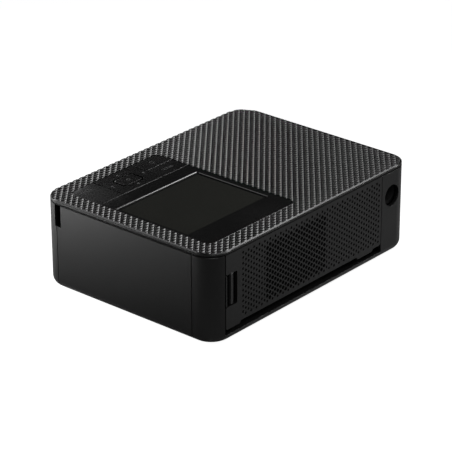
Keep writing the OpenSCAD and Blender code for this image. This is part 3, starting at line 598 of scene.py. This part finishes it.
# A lighter copy of the black plastic: painted light on the latch pocket's rib
RIB_PAINTED_LIGHT = moulded_plastic("rib_painted_light_black", grey(0.008), grey(0.011), 0.4, 0.4, 0.004, 0.4, 0.3)
FOOT_RUBBER = rubber_finish("foot_rubber", grey(0.012), grey(0.022))
ROLLER_RUBBER = rubber_finish("roller_rubber", (0.02, 0.02, 0.021), (0.04, 0.04, 0.041), 0.6)
PLATED_SHEET = metal_finish("plated_sheet", grey(0.6), (0.48, 0.48, 0.49), 0.34, (40.0, 1.0, 40.0))
TURNED_STEEL = metal_finish("turned_steel", (0.64, 0.64, 0.65), (0.52, 0.52, 0.53), 0.24, (60.0, 4.0, 4.0))
MOTOR_CAN = metal_finish("motor_plating", (0.52, 0.52, 0.53), (0.42, 0.42, 0.43), 0.3, (4.0, 50.0, 50.0))
HEAT_SINK = metal_finish("extruded_aluminium", (0.72, 0.73, 0.74), (0.6, 0.61, 0.62), 0.36, (1.0, 60.0, 60.0))
BRASS = metal_finish("cut_brass", (0.78, 0.58, 0.26), (0.66, 0.47, 0.2), 0.28, (1.0, 60.0, 60.0))
NICKEL = metal_finish("nickel_plate", (0.72, 0.71, 0.69), (0.6, 0.59, 0.57), 0.18, (1.0, 60.0, 60.0))
BOARD = board_finish("circuit_board")
SCREEN = screen_finish("screen_window")
RIBBON = film_finish("dye_ribbon", (0.26, 0.07, 0.03), (0.14, 0.035, 0.02))

FINISHES = {
    CASE_BLACK: ["main_case", "base_tray", "front_door"],
    DOOR_BLACK: ["ink_door"],
    KNURL_BLACK: ["top_cover"],
    REAR_BLACK: ["rear_grille"],
    # the pocket, the jack and the parts behind the slot and vents get the near-black finish: painted shade
    SHADE_BLACK: ["rear_pocket", "dc_jack", "lower_guide", "upper_guide", "fan_frame", "fan_rotor"],
    PANEL_BLACK: ["control_bezel"],
    SCREEN: ["lcd_glass"],
    KEY_BLACK: ["home_key", "power_key", "nav_pad", "ok_key", "print_key"],
    INNER_BLACK: ["ink_bay_frame", "nav_gimbal", "pad_posts"],
    INNER_GREY: ["paper_bay_floor", "paper_bay_roof"],
    SHELL_GREY: ["ribbon_case"],
    LEVER_GREY: ["eject_lever"],
    GEAR_WHITE: ["feed_gear", "idler_gear", "takeup_gear"],
    SPOOL_WHITE: ["supply_spool", "takeup_spool"],
    FOOT_RUBBER: ["foot_front_left", "foot_front_right", "foot_rear_left", "foot_rear_right"],
    ROLLER_RUBBER: ["platen_roller", "pinch_roller", "pickup_roller"],
    PLATED_SHEET: [
        "lcd_module", "card_slot", "usb_port", "left_side_plate", "right_side_plate", "motor_bracket",
        "head_arm",
    ],
    TURNED_STEEL: ["ink_door_pins", "front_door_pins", "feed_roller", "idler_stud", "head_shaft"],
    MOTOR_CAN: ["motor_can"],
    HEAT_SINK: ["thermal_head"],
    BRASS: ["motor_pinion"],
    NICKEL: ["jack_pin"],
    BOARD: ["main_board", "key_board", "port_board"],
    RIBBON: ["ribbon_film", "supply_ribbon", "takeup_ribbon"],
}
for finish, names in FINISHES.items():
    for name in names:
        NODES[name].data.materials.clear()
        NODES[name].data.materials.append(finish)


def second_finish(mesh, material, wanted):
    """Gives the faces for which wanted is true a finish of their own."""
    mesh.materials.append(material)
    for face in mesh.polygons:
        if wanted(face):
            face.material_index = 1


second_finish(NODES["top_cover"].data, CASE_BLACK, lambda face: abs(face.normal.z) < 0.1)

EDGE_RADII = {
    "main_case": 0.14,
    "top_cover": 0.12,
    "base_tray": 0.15,
    "ink_door": 0.16,
    "front_door": 0.15,
    "rear_pocket": 0.1,
    "lcd_glass": 0.04,
}
CHAMFERS = {name: KEY_CHAMFER for name in ("home_key", "power_key", "print_key")}
CHAMFERS["control_bezel"] = 0.14
for name in sorted(NODES):
    if name in CHAMFERS:
        round_piece(NODES[name], CHAMFERS[name], segments=1)
    else:
        round_piece(NODES[name], EDGE_RADII.get(name, 0.0))


# ---- knurled top ----


def field_outline():
    """Outline of the knurl inside the rim; along the front it runs out over the edge instead."""
    x, y = (-RIGHT + RIM_INNER, RIGHT - RIM_INNER), (-REAR + RIM_INNER, REAR - RIM_INNER)
    bend_y = -REAR + CORNER_RADIUS
    reach = (CORNER_RADIUS - 0.03) / (CORNER_RADIUS - RIM_INNER)
    points = rounded_rectangle(x, y, CORNER_RADIUS - RIM_INNER, 12)
    return [(px, bend_y + (py - bend_y) * reach if py < bend_y else py) for px, py in points]


def opening_outline():
    """Outline of the control panel's opening in the cover."""
    x = (PANEL_X[0] - PANEL_GAP, PANEL_X[1] + PANEL_GAP)
    y = (PANEL_Y[0] - PANEL_GAP, PANEL_Y[1] + PANEL_GAP)
    return rounded_rectangle(x, y, PANEL_RADIUS + PANEL_GAP, 10)


def knurl_field():
    """Rhombic hollows set in narrow lands, trimmed to the rim and to the control panel's opening."""
    half_x, half_y = KNURL_PITCH[0] / 2, KNURL_PITCH[1] / 2
    ridge_z = TOP - KNURL_SINK
    brow = [1 - land * math.hypot(half_x, half_y) / (half_x * half_y) for land in KNURL_LAND]
    levels = [(1 + KNURL_BREAK, ridge_z), (1 - KNURL_BREAK, ridge_z - KNURL_BREAK)]
    for share in (0.78, 0.52, 0.26, KNURL_TIP):
        levels.append((share, ridge_z - KNURL_DEPTH * (1 - 0.5 * share - 0.5 * share * share)))
    outer = field_outline()
    opening = opening_outline()
    bm = bmesh.new()
    corners = {}

    def corner(x, y):
        place = (round(x, 4), round(y, 4))
        if place not in corners:
            corners[place] = bm.verts.new((x, y, ridge_z))
        return corners[place]

    for x, y in lattice(KNURL_PITCH, (-RIGHT - half_x, RIGHT + half_x), (-REAR - half_y, REAR + half_y)):
        steps = ((half_x, 0), (0, half_y), (-half_x, 0), (0, -half_y))
        if all(inside_convex((x + dx, y + dy), opening) for dx, dy in steps):
            continue
        if not any(inside_convex((x + dx, y + dy), outer) for dx, dy in steps):
            continue
        ring = [corner(x + dx, y + dy) for dx, dy in steps]
        for share, z in levels:
            inner = []
            for along, aside in ((1, 1), (1, -1), (-1, -1), (-1, 1)):
                a, b = along * brow[0] * share / 2, aside * brow[1] * share / 2
                inner.append(bm.verts.new((x + (a + b) * half_x, y + (a - b) * half_y, z)))
            for i in range(4):
                j = (i + 1) % 4
                bm.faces.new((ring[i], ring[j], inner[j], inner[i]))
            ring = inner
        bm.faces.new(ring)

    trim(bm, outer, True)
    trim(bm, opening, False)
    close_sides(bm, FIELD_Z)
    return from_bmesh("knurl_field", bm, KNURL_BLACK)


def cover_shell():
    """The cover with its plain rim cut down along the front, where the knurl runs out over the edge."""
    mesh = NODES["top_cover"].data.copy()
    bend = (RIGHT - CORNER_RADIUS, -REAR + CORNER_RADIUS)
    for vertex in mesh.vertices:
        x, y, z = vertex.co / MM
        if z < TOP - 0.5 or y > bend[1]:
            continue
        off = (max(abs(x) - bend[0], 0.0), bend[1] - y)
        if math.hypot(*off) > CORNER_RADIUS - 1.5 and off[0] < off[1] * 3.0:
            vertex.co.z = (TOP - FRONT_CUT) * MM
    shell = bpy.data.objects.new("cover_shell", mesh)
    bpy.context.scene.collection.objects.link(shell)
    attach(shell, PRINTER)
    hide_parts("top_cover")
    round_piece(shell, EDGE_RADII["top_cover"])


def trim(bm, outline, keep_inside):
    """Cuts the faces near each side of a convex outline and drops those on the unwanted side of it."""
    reach = KNURL_PITCH[0]
    for i, a in enumerate(outline):
        b = outline[(i + 1) % len(outline)]
        if math.dist(a, b) < 1e-6:
            continue
        x = (min(a[0], b[0]) - reach, max(a[0], b[0]) + reach)
        y = (min(a[1], b[1]) - reach, max(a[1], b[1]) + reach)
        near = []
        for face in bm.faces:
            middle = face.calc_center_median()
            if x[0] < middle.x < x[1] and y[0] < middle.y < y[1]:
                near.append(face)
        parts = near + list({e for f in near for e in f.edges}) + list({v for f in near for v in f.verts})
        across = Vector((b[1] - a[1], a[0] - b[0], 0.0)).normalized()
        bmesh.ops.bisect_plane(bm, geom=parts, dist=1e-5, plane_co=(a[0], a[1], 0.0), plane_no=across)
    gone = [f for f in bm.faces if inside_convex(f.calc_center_median(), outline) != keep_inside]
    bmesh.ops.delete(bm, geom=gone, context="FACES")


def close_sides(bm, low_z):
    """Carries the cut edges of a surface straight down, so that it has no open side."""
    cut = [e for e in bm.edges if e.is_boundary]
    made = bmesh.ops.extrude_edge_only(bm, edges=cut)
    for part in made["geom"]:
        if isinstance(part, bmesh.types.BMVert):
            part.co.z = low_z


def bar(name, section, ends, material, along="x"):
    """A straight bar: section is [across, height] points, ends are (distance along, drop) stations."""
    verts, faces, rings = [], [], []
    for far, drop in ends:
        rings.append([(far, a, z - drop) if along == "x" else (a, far, z - drop) for a, z in section])
    add_wall(verts, faces, rings)
    count = len(section)
    faces.append(list(range(count)))
    faces.append(list(range(len(verts) - count, len(verts))))
    face_outwards(make_piece(name, verts, faces, material).data)


def panel_lip():
    """Plain lip along the rear side of the control panel's opening, falling towards the knurl."""
    y, width = PANEL_Y[1] + PANEL_GAP, 0.28
    top_z = TOP - 0.03
    section = [
        (y, FIELD_Z), (y, top_z - 0.02), (y + 0.03, top_z),
        (y + width - 0.06, top_z - 0.06), (y + width, top_z - 0.2), (y + width, FIELD_Z),
    ]
    left, right, taper = PANEL_X[0] + PANEL_RADIUS, PANEL_X[1] - PANEL_RADIUS, 2
    ends = [(left, 0.1), (left + taper, 0.0), (right - taper, 0.0), (right, 0.1)]
    bar("panel_lip", section, ends, KNURL_BLACK)


def rim_step():
    """Flat step along the outer half of the rear rim, which leaves its bright slope narrow."""
    inner_y, outer_y = REAR - RIM_STEP[0], REAR - 0.02
    z, foot_z = TOP - RIM_STEP[1], TOP - RIM_STEP[1] - 0.5
    section = [(inner_y, z), (outer_y - 0.08, z), (outer_y, z - 0.08), (outer_y, foot_z), (inner_y, foot_z)]
    far, taper, drop = RIGHT - CORNER_RADIUS, 3, 0.22
    ends = [(-far, drop), (-far + taper, 0.0), (far - taper, 0.0), (far, drop)]
    bar("rim_step", section, ends, CASE_BLACK)


cover_shell()
knurl_field()
panel_lip()
rim_step()


# ---- control panel ----


def screen_frame():
    """Gasket along the front wall of the screen's recess and the sloping ledge along its left wall."""
    front, left = SCREEN_Y[0], SCREEN_X[0]
    top_z = GLASS_Z + GASKET_HEIGHT
    gasket = [
        (front + 0.02, GLASS_Z), (front + 0.3, GLASS_Z), (front + 0.3, top_z - 0.06),
        (front + 0.22, top_z), (front - 0.28, top_z),
    ]
    ends = [(SCREEN_X[0] + 0.05, 0.0), (SCREEN_X[1] - 0.05, 0.0)]
    bar("screen_gasket", gasket, ends, INNER_BLACK)
    high, edge = PANEL_Z - 0.14, left + 0.46
    ledge = [
        (left, GLASS_Z), (left, high), (left + 0.06, high),
        (edge - 0.04, high - 0.12), (edge, high - 0.17), (edge, GLASS_Z),
    ]
    ends = [(SCREEN_Y[0] + 1.4, 0.0), (SCREEN_Y[1] - 0.05, 0.0)]
    bar("screen_ledge", ledge, ends, PANEL_BLACK, along="y")


def seam_ring(name, inset, z, material):
    """A square-edged ring right round the case, between two insets and two heights."""
    verts, faces, rings = [], [], []
    for side, height in ((inset[0], z[0]), (inset[0], z[1]), (inset[1], z[1]), (inset[1], z[0])):
        x, y = (-RIGHT + side, RIGHT - side), (-REAR + side, REAR - side)
        outline = rounded_rectangle(x, y, CORNER_RADIUS - side, 16)
        rings.append([(px, py, height) for px, py in outline])
    add_wall(verts, faces, rings)
    count = len(rings[0])
    faces.extend(join_rings(len(verts) - count, 0, count))
    make_piece(name, verts, faces, material)


def cover_seam():
    """Narrow dark seam between the case and its cover: a brow, a skirt, and behind them a near-black ring of
    painted shade.
    """
    seam_ring("cover_seam_shade", (0.62, 1.6), (CASE_EDGE_Z - 0.02, COVER_EDGE_Z + 0.02), SHADE_BLACK)
    seam_ring("case_brow", (0.02, 0.9), (CASE_EDGE_Z - 0.16, CASE_EDGE_Z + 0.01), CASE_BLACK)
    seam_ring("cover_skirt", (0.02, 0.9), (COVER_EDGE_Z - 0.01, COVER_EDGE_Z + 0.2), CASE_BLACK)


def key_outline(grow, radius):
    """Round-cornered outline of the middle key, a distance outside it."""
    x = (OK_AT[0] - OK_HALF[0] - grow, OK_AT[0] + OK_HALF[0] + grow)
    y = (OK_AT[1] - OK_HALF[1] - grow, OK_AT[1] + OK_HALF[1] + grow)
    return rounded_rectangle(x, y, radius, 10)


def ok_cap():
    """The round-cornered middle key, with a crowned edge and a wide dark gap round it."""
    crown_z = PANEL_Z + 0.1
    steps = ((0.26, KEY_ROOT_Z), (0.26, PANEL_Z - 0.22), (0.54, PANEL_Z + 0.06), (0.66, PANEL_Z + 0.09))
    steps += ((0.9, crown_z), (1.4, crown_z))
    verts, faces, rings = [], [], []
    for inset, z in steps:
        rings.append([(x, y, z) for x, y in key_outline(-inset, OK_RADIUS - inset)])
    add_wall(verts, faces, rings, close=True)
    faces.append(list(reversed(range(len(rings[0])))))
    cap = make_piece("ok_key_cap", verts, faces, KEY_BLACK, "ok_key", smooth=True)
    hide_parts("ok_key")
    return cap


def pad_plate():
    """The direction pad: a plate with a plain hole for the middle key and chamfered outer edges."""
    burr = 0.03
    verts, faces = [], []

    def outer(inset, z):
        x, y = (pad_low.x + inset, pad_high.x - inset), (pad_low.y + inset, pad_high.y - inset)
        return [(x[0], y[0], z), (x[1], y[0], z), (x[1], y[1], z), (x[0], y[1], z)]

    def hole(grow, z):
        outline = key_outline(OK_GAP + grow, OK_RADIUS + OK_GAP + grow)
        return [(x, y, z) for x, y in outline]

    corner_z = PANEL_Z - KEY_CHAMFER
    add_wall(verts, faces, [outer(0.0, KEY_ROOT_Z), outer(0.0, corner_z), outer(KEY_CHAMFER, PANEL_Z)])
    add_wall(verts, faces, [hole(0.0, KEY_ROOT_Z), hole(0.0, PANEL_Z - burr), hole(burr, PANEL_Z)])
    for z, inset, grow in ((KEY_ROOT_Z, 0.0, 0.0), (PANEL_Z, KEY_CHAMFER, burr)):
        loops = [[point[:2] for point in loop] for loop in (outer(inset, z), hole(grow, z))]
        points, triangles = flat_with_holes(loops[0], loops[1:])
        add_flat(verts, faces, [(x, y, z) for x, y in points], triangles)
    plate = make_piece("pad_plate", verts, faces, KEY_BLACK, "nav_pad")
    face_outwards(plate.data, join=1e-7)
    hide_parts("nav_pad")
    return plate


def pad_bump(name, x, y):
    """A small raised bump that a finger finds on the direction pad."""
    radius, height, sunk, steps, count = 0.85, 0.36, 0.02, 4, 16
    verts, faces, rings = [], [], []
    for k in range(steps):
        lift = math.radians(90 * k / steps)
        reach, z = radius * math.cos(lift), PANEL_Z - sunk + (height + sunk) * math.sin(lift)
        turns = [2 * math.pi * i / count for i in range(count)]
        rings.append([(x + reach * math.cos(a), y + reach * math.sin(a), z) for a in turns])
    add_wall(verts, faces, rings)
    last = len(verts) - count
    verts.append((x, y, PANEL_Z + height))
    faces.extend([last + i, last + (i + 1) % count, last + count] for i in range(count))
    faces.append(list(reversed(range(count))))
    make_piece(name, verts, faces, KEY_BLACK, "nav_pad", smooth=True)


def ring_band(x, y, radius, stroke, start=0, end=360, steps=24):
    """Quads of a ring or of a part of one, as loops of [x, y]."""
    quads = []
    for i in range(steps):
        a = math.radians(start + (end - start) * i / steps)
        b = math.radians(start + (end - start) * (i + 1) / steps)
        quads.append([
            (x + (radius + side) * math.cos(t), y + (radius + side) * math.sin(t))
            for t, side in ((a, -stroke / 2), (a, stroke / 2), (b, stroke / 2), (b, -stroke / 2))
        ])
    return quads


def block(x0, x1, y0, y1):
    """One rectangle as a list of loops."""
    return [[(x0, y0), (x1, y0), (x1, y1), (x0, y1)]]


def frame_band(x0, x1, y0, y1, stroke):
    """The four sides of an outlined rectangle."""
    return (
        block(x0, x1, y0, y0 + stroke) + block(x0, x1, y1 - stroke, y1)
        + block(x0, x0 + stroke, y0 + stroke, y1 - stroke) + block(x1 - stroke, x1, y0 + stroke, y1 - stroke)
    )


def printed_mark(name, loops, z, body):
    """A sign printed on a key: a very thin raised layer of ink."""
    verts, faces = [], []
    for loop in loops:
        start, count = len(verts), len(loop)
        verts.extend((x, y, z - 0.01) for x, y in loop)
        verts.extend((x, y, z + 0.02) for x, y in loop)
        faces.append([start + count + i for i in range(count)])
        faces.append([start + i for i in reversed(range(count))])
        faces.extend(join_rings(start, start + count, count))
    make_piece(name, verts, faces, MARK_GREY, body)


def key_signs():
    """Plain signs: a power ring, a menu pill, a ring on the middle key, a sheet and an arrow to print."""
    x, y = POWER_SIGN_AT
    power = ring_band(x, y, 1.5, 0.4, 120, 420) + block(x - 0.2, x + 0.2, y + 0.4, y + 2.1)
    printed_mark("power_sign", power, PANEL_Z, "power_key")
    x, y = MENU_SIGN_AT
    menu = frame_band(x - 4.5, x + 4.5, y - 1.0, y + 1.0, 0.3)
    for offset in (-2.6, 0.0, 2.6):
        menu += block(x + offset - 0.8, x + offset + 0.8, y - 0.25, y + 0.25)
    printed_mark("menu_sign", menu, PANEL_Z, "home_key")
    printed_mark("middle_sign", ring_band(OK_AT[0], OK_AT[1], 1.1, 0.5), PANEL_Z + 0.1, "ok_key")
    x, y = PRINT_SIGN_AT
    sheet = frame_band(x - 4.4, x - 0.8, y - 1.2, y + 1.2, 0.35) + block(x + 0.2, x + 2.4, y - 0.25, y + 0.25)
    sheet.append([(x + 2.4, y - 1.0), (x + 4.2, y), (x + 2.4, y + 1.0)])
    printed_mark("print_sign", sheet, PANEL_Z, "print_key")


cover_seam()
screen_frame()
cap = ok_cap()
plate = pad_plate()
for label, dx, dy in (("left", -13.5, 0.0), ("right", 13.5, 0.0), ("front", 0.0, -8.5), ("rear", 0.0, 8.5)):
    pad_bump("pad_bump_" + label, OK_AT[0] + dx, OK_AT[1] + dy)
key_signs()


# ---- perforated rear panel ----


def panel_outline():
    """Outline of the rear panel as [x, z], with the latch pocket's notch and the stepped lower edge."""
    left, right = grille_low.x, grille_high.x
    low, top = grille_low.z + 0.45, grille_high.z
    slot = low + SLOT_ROOF
    pocket, (sill, head) = POCKET_X, POCKET_Z
    return [
        (left, slot + 1), (left + 0.3, slot + 0.3), (left + 1, slot), (-56, slot), (-55.2, slot - 0.3),
        (-54.4, low + 0.2), (-53.6, low), (-40.8, low), (-40.1, low + 0.3),
        (-39.4, slot - 0.2), (-38.7, slot),
        (66.7, slot), (67.4, slot - 0.2), (68.1, low + 0.3), (68.8, low),
        (right - 1, low), (right - 0.3, low + 0.3), (right, low + 1),
        (right, sill - 1.3), (right - 0.3, sill - 0.6), (right - 1, sill - 0.3),
        (pocket + 0.8, sill - 0.3), (pocket + 0.25, sill - 0.05), (pocket, sill + 0.5),
        (pocket, head - 0.5), (pocket + 0.25, head + 0.05), (pocket + 0.8, head + 0.3),
        (right - 1, head + 0.3), (right - 0.3, head + 0.6), (right, head + 1.3),
        (right, top), (left, top),
    ]


def hole_ring(site, size, grow, steps=12):
    """A rounded rhombus round a site, anticlockwise as [x, z]."""
    ring = []
    for i in range(steps):
        a = 2 * math.pi * i / steps
        c, s = math.cos(a), math.sin(a)
        pull = 1.0 / (abs(c) ** 1.5 + abs(s) ** 1.5) ** (1 / 1.5)
        ring.append((site[0] + (size[0] / 2 + grow) * c * pull, site[1] + (size[1] / 2 + grow) * s * pull))
    return ring


def perforated_panel():
    """The rear panel: rhombic holes where the fan breathes, and blind dimples beside them."""
    front_y = grille_high.y
    back_y = front_y - PERFORATED_THICKNESS
    outline = panel_outline()
    sites = lattice(HOLE_PITCH, DIMPLE_X, DIMPLE_Z, FAN_AT)
    through = {s for s in sites if VENT_X[0] < s[0] < VENT_X[1] and VENT_Z[0] < s[1] < VENT_Z[1]}
    sizes = {s: VENT_SIZE if s in through else DIMPLE_SIZE for s in sites}
    verts, faces = [], []

    def upright(loop, y):
        return [(px, y, pz) for px, pz in loop]

    points, triangles = flat_with_holes(outline, [hole_ring(s, sizes[s], HOLE_LIP) for s in sites])
    add_flat(verts, faces, upright(points, front_y), [list(reversed(t)) for t in triangles])
    points, triangles = flat_with_holes(outline, [hole_ring(s, VENT_SIZE, 0.0) for s in sorted(through)])
    add_flat(verts, faces, upright(points, back_y), triangles)
    for site in sites:
        steps = [(HOLE_LIP, front_y), (HOLE_LIP * 0.3, front_y - 0.04), (0.0, front_y - 0.12)]
        if site in through:
            steps.append((0.0, back_y))
        else:
            steps += [(-0.06, front_y - DIMPLE_DEPTH + 0.1), (-0.2, front_y - DIMPLE_DEPTH)]
        rings = [upright(hole_ring(site, sizes[site], grow), y) for grow, y in steps]
        add_wall(verts, faces, rings, close=site not in through)
    add_wall(verts, faces, [upright(outline, front_y), upright(outline, back_y)])
    panel = make_piece("rear_perforated_panel", verts, faces, REAR_BLACK)
    face_outwards(panel.data, join=1e-7)
    # the hole walls and dimple floors get the near-black finish: painted shade in the recesses
    low, high = (back_y + 0.01) * MM, (front_y - 0.06) * MM
    second_finish(panel.data, SHADE_BLACK, lambda face: low < face.center.y < high)
    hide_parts("rear_grille")


def pocket_bar(name, x, deep, front, material):
    """An upright bar in the latch pocket, from one depth to another, with its outer corners broken."""
    low_z, high_z = POCKET_Z[0] + 0.35, POCKET_Z[1] - 0.35
    back_y, front_y, corner = REAR - deep, REAR - front, 0.1
    section = [
        (back_y, low_z), (back_y, high_z), (front_y - corner, high_z), (front_y, high_z - corner),
        (front_y, low_z + corner), (front_y - corner, low_z),
    ]
    bar(name, section, [(x[0], 0.0), (x[1], 0.0)], material)


def slot_painted_shade():
    """Near-black sheet on the floor of the paper slot under the panel: painted shade."""
    back_y, front_y = REAR - 2.45, REAR - 0.2
    low_z, high_z = 5.79, 5.85
    section = [(back_y, low_z), (back_y, high_z), (front_y - 0.02, high_z), (front_y, low_z)]
    bar("slot_painted_shade", section, [(grille_low.x, 0.0), (grille_high.x, 0.0)], SHADE_BLACK)


perforated_panel()
# the rib takes a lighter copy of the black, painted light, against the pocket's painted shade
pocket_bar("pocket_rib", (POCKET_X + 3.2, POCKET_X + 5.1), 4.0, 0.45, RIB_PAINTED_LIGHT)
pocket_bar("pocket_cheek", (RIGHT - 11.83, grille_high.x), 3.0, 0.04, REAR_BLACK)
slot_painted_shade()


# ---- studio ----

# floor: how far it reaches in metres, how bright it looks, and how bright the glossy pieces mirror it
FLOOR_REACH = 6.0
SEEN_FLOOR = 0.97
MIRRORED_FLOOR = 0.05

# lamps in a direction from the printer: name, azimuth, elevation, distance, size, power
ROUND_LAMPS = (
    ("main_box", 50.7, 36, 1.6, (0.9, 0.9), 13),
    ("edge_box", 145, 31, 1.45, (0.26, 0.3), 4.9),
    ("rim_box", -164, 43, 1.5, (0.52, 0.3), 2.1),
    ("ledge_box", -115, 47, 1.4, (0.3, 0.3), 0.5),
    ("crown_box", -163, 58, 1.3, (0.5, 0.6), 0.75),
)

# lamps on one slanting plane: name, place across it, place up it, size, power,
# and whether they light the control panel as well
SIDE_PLANE = Vector((-0.456, -1.243, 0.62))
SIDE_ACROSS = Vector((0.939, -0.344, 0.0))
SIDE_UP = Vector((0.14, 0.382, 0.913))
SIDE_WAY = (0.456, 1.243, -0.59)
SIDE_LAMPS = (
    ("side_box", 0, 0, (0.7, 0.94), 5.8, True),
    ("side_fill", -0.43, -0.235, (0.18, 0.43), 0.24, True),
    ("low_fill", -0.61, -0.26, (0.2, 0.38), 0.3, False),
    ("panel_fill", -0.38, 0.1, (0.1, 0.2), 0.07, True),
    ("corner_fill", -0.61, -0.02, (0.26, 0.12), 0.2, False),
)

# camera: angles in degrees, lengths in millimetres
CAMERA_AZIMUTH = 130.614
CAMERA_ELEVATION = 24.893
CAMERA_ROLL = -0.168
CAMERA_DISTANCE = 1408.4
CAMERA_AIM = (0.0, 0.0, 28.0)
CAMERA_OFFSET = (-1.72, -2.399)
FOCAL_LENGTH = 187.57


def floor():
    """Pale studio floor: white to the eye, and it keeps the printer's shadow."""
    far = FLOOR_REACH
    mesh = bpy.data.meshes.new("studio_floor")
    mesh.from_pydata([(-far, -far, 0), (far, -far, 0), (far, far, 0), (-far, far, 0)], [], [(0, 1, 2, 3)])
    material = bpy.data.materials.new("studio_white")
    material.use_nodes = True
    tree = material.node_tree
    tree.nodes.clear()
    seen = tree.nodes.new("ShaderNodeLightPath")
    mirrored = math_node(tree, "MAXIMUM", seen.outputs["Is Glossy Ray"], seen.outputs["Is Transmission Ray"])
    direct = math_node(tree, "MULTIPLY", seen.outputs["Is Camera Ray"], SEEN_FLOOR)
    reflected = math_node(tree, "MULTIPLY", mirrored, MIRRORED_FLOOR)
    glow = tree.nodes.new("ShaderNodeEmission")
    glow.inputs["Color"].default_value = (1, 1, 1, 1)
    wire(tree, math_node(tree, "ADD", direct, reflected), glow.inputs["Strength"])
    paper = tree.nodes.new("ShaderNodeBsdfDiffuse")
    paper.inputs["Color"].default_value = (0.8, 0.8, 0.8, 1)
    both = tree.nodes.new("ShaderNodeAddShader")
    wire(tree, glow.outputs[0], both.inputs[0])
    wire(tree, paper.outputs[0], both.inputs[1])
    out = tree.nodes.new("ShaderNodeOutputMaterial")
    wire(tree, both.outputs[0], out.inputs["Surface"])
    mesh.materials.append(material)
    plane = bpy.data.objects.new("studio_floor", mesh)
    bpy.context.scene.collection.objects.link(plane)
    return plane


def soft_box(name, azimuth, elevation, distance, size, power):
    """A lamp in a direction from the printer, turned towards it. Angles in degrees, azimuth from +X."""
    a, e = math.radians(azimuth), math.radians(elevation)
    way = Vector((math.cos(a) * math.cos(e), math.sin(a) * math.cos(e), math.sin(e)))
    return place_lamp(name, Vector((0, 0, 0.03)) + way * distance, -way, size, power)


def place_lamp(name, place, way, size, power):
    """A rectangular lamp at a place, shining along a way."""
    lamp = bpy.data.lights.new(name, "AREA")
    lamp.shape = "RECTANGLE"
    lamp.size, lamp.size_y = size
    lamp.energy = power
    box = bpy.data.objects.new(name, lamp)
    box.location = place
    box.rotation_euler = Vector(way).to_track_quat("-Z", "Y").to_euler()
    bpy.context.scene.collection.objects.link(box)
    return box


def keep_off(box, *shaded):
    """Flags a lamp so that it doesn't light the given objects."""
    spared = bpy.data.collections.new(box.name + "_spares")
    for thing in shaded:
        spared.objects.link(thing)
    box.light_linking.receiver_collection = spared
    for entry in spared.collection_objects:
        entry.light_linking.link_state = "EXCLUDE"


def surroundings(overhead, horizon):
    """A studio that is white down at the horizon and dim overhead."""
    world = bpy.data.worlds.new("studio")
    bpy.context.scene.world = world
    world.use_nodes = True
    tree = world.node_tree
    back = tree.nodes["Background"]
    back.inputs["Color"].default_value = (1, 1, 1, 1)
    axes = tree.nodes.new("ShaderNodeSeparateXYZ")
    wire(tree, tree.nodes.new("ShaderNodeTexCoord").outputs["Generated"], axes.inputs[0])
    wire(tree, spread(tree, axes.outputs["Z"], 0.05, 0.16, horizon, overhead), back.inputs["Strength"])


def camera():
    """The camera, turned about its own axis by the roll and shifted by the offset in its own plane."""
    a, e, r = (math.radians(v) for v in (CAMERA_AZIMUTH, CAMERA_ELEVATION, CAMERA_ROLL))
    back = Vector((math.sin(a) * math.cos(e), -math.cos(a) * math.cos(e), math.sin(e)))
    side = (-back).cross(Vector((0, 0, 1))).normalized()
    up = side.cross(-back)
    side, up = math.cos(r) * side + math.sin(r) * up, -math.sin(r) * side + math.cos(r) * up
    data = bpy.data.cameras.new("camera")
    data.sensor_width = 36
    data.lens = FOCAL_LENGTH
    data.clip_start, data.clip_end = 0.05, 50
    eye = bpy.data.objects.new("camera", data)
    turn = Matrix((side, up, back)).transposed().to_4x4()
    place = Vector(CAMERA_AIM) + back * CAMERA_DISTANCE + side * CAMERA_OFFSET[0] + up * CAMERA_OFFSET[1]
    eye.matrix_world = Matrix.Translation(place * MM) @ turn
    bpy.context.scene.collection.objects.link(eye)
    bpy.context.scene.camera = eye


bpy.context.scene.view_settings.view_transform = "Standard"
plane = floor()
panel_pieces = [NODES[name] for name in ("control_bezel", "home_key", "power_key", "print_key", "lcd_glass")]
panel_pieces += [plate, cap]
surroundings(0.03, 0.42)
for name, azimuth, elevation, distance, size, power in ROUND_LAMPS:
    keep_off(soft_box(name, azimuth, elevation, distance, size, power), plane)
for name, across, up, size, power, on_panel in SIDE_LAMPS:
    lamp = place_lamp(name, SIDE_PLANE + across * SIDE_ACROSS + up * SIDE_UP, SIDE_WAY, size, power)
    keep_off(lamp, plane, *([] if on_panel else panel_pieces))
place_lamp("floor_wash", (0.26, -0.235, 0.13), (0, 0, -1), (0.12, 0.12), 1.4).data.spread = math.radians(150)
place_lamp("rear_wash", (-0.1, 0.18, 0.25), (0, 0, -1), (0.2, 0.2), 0.32)
camera()
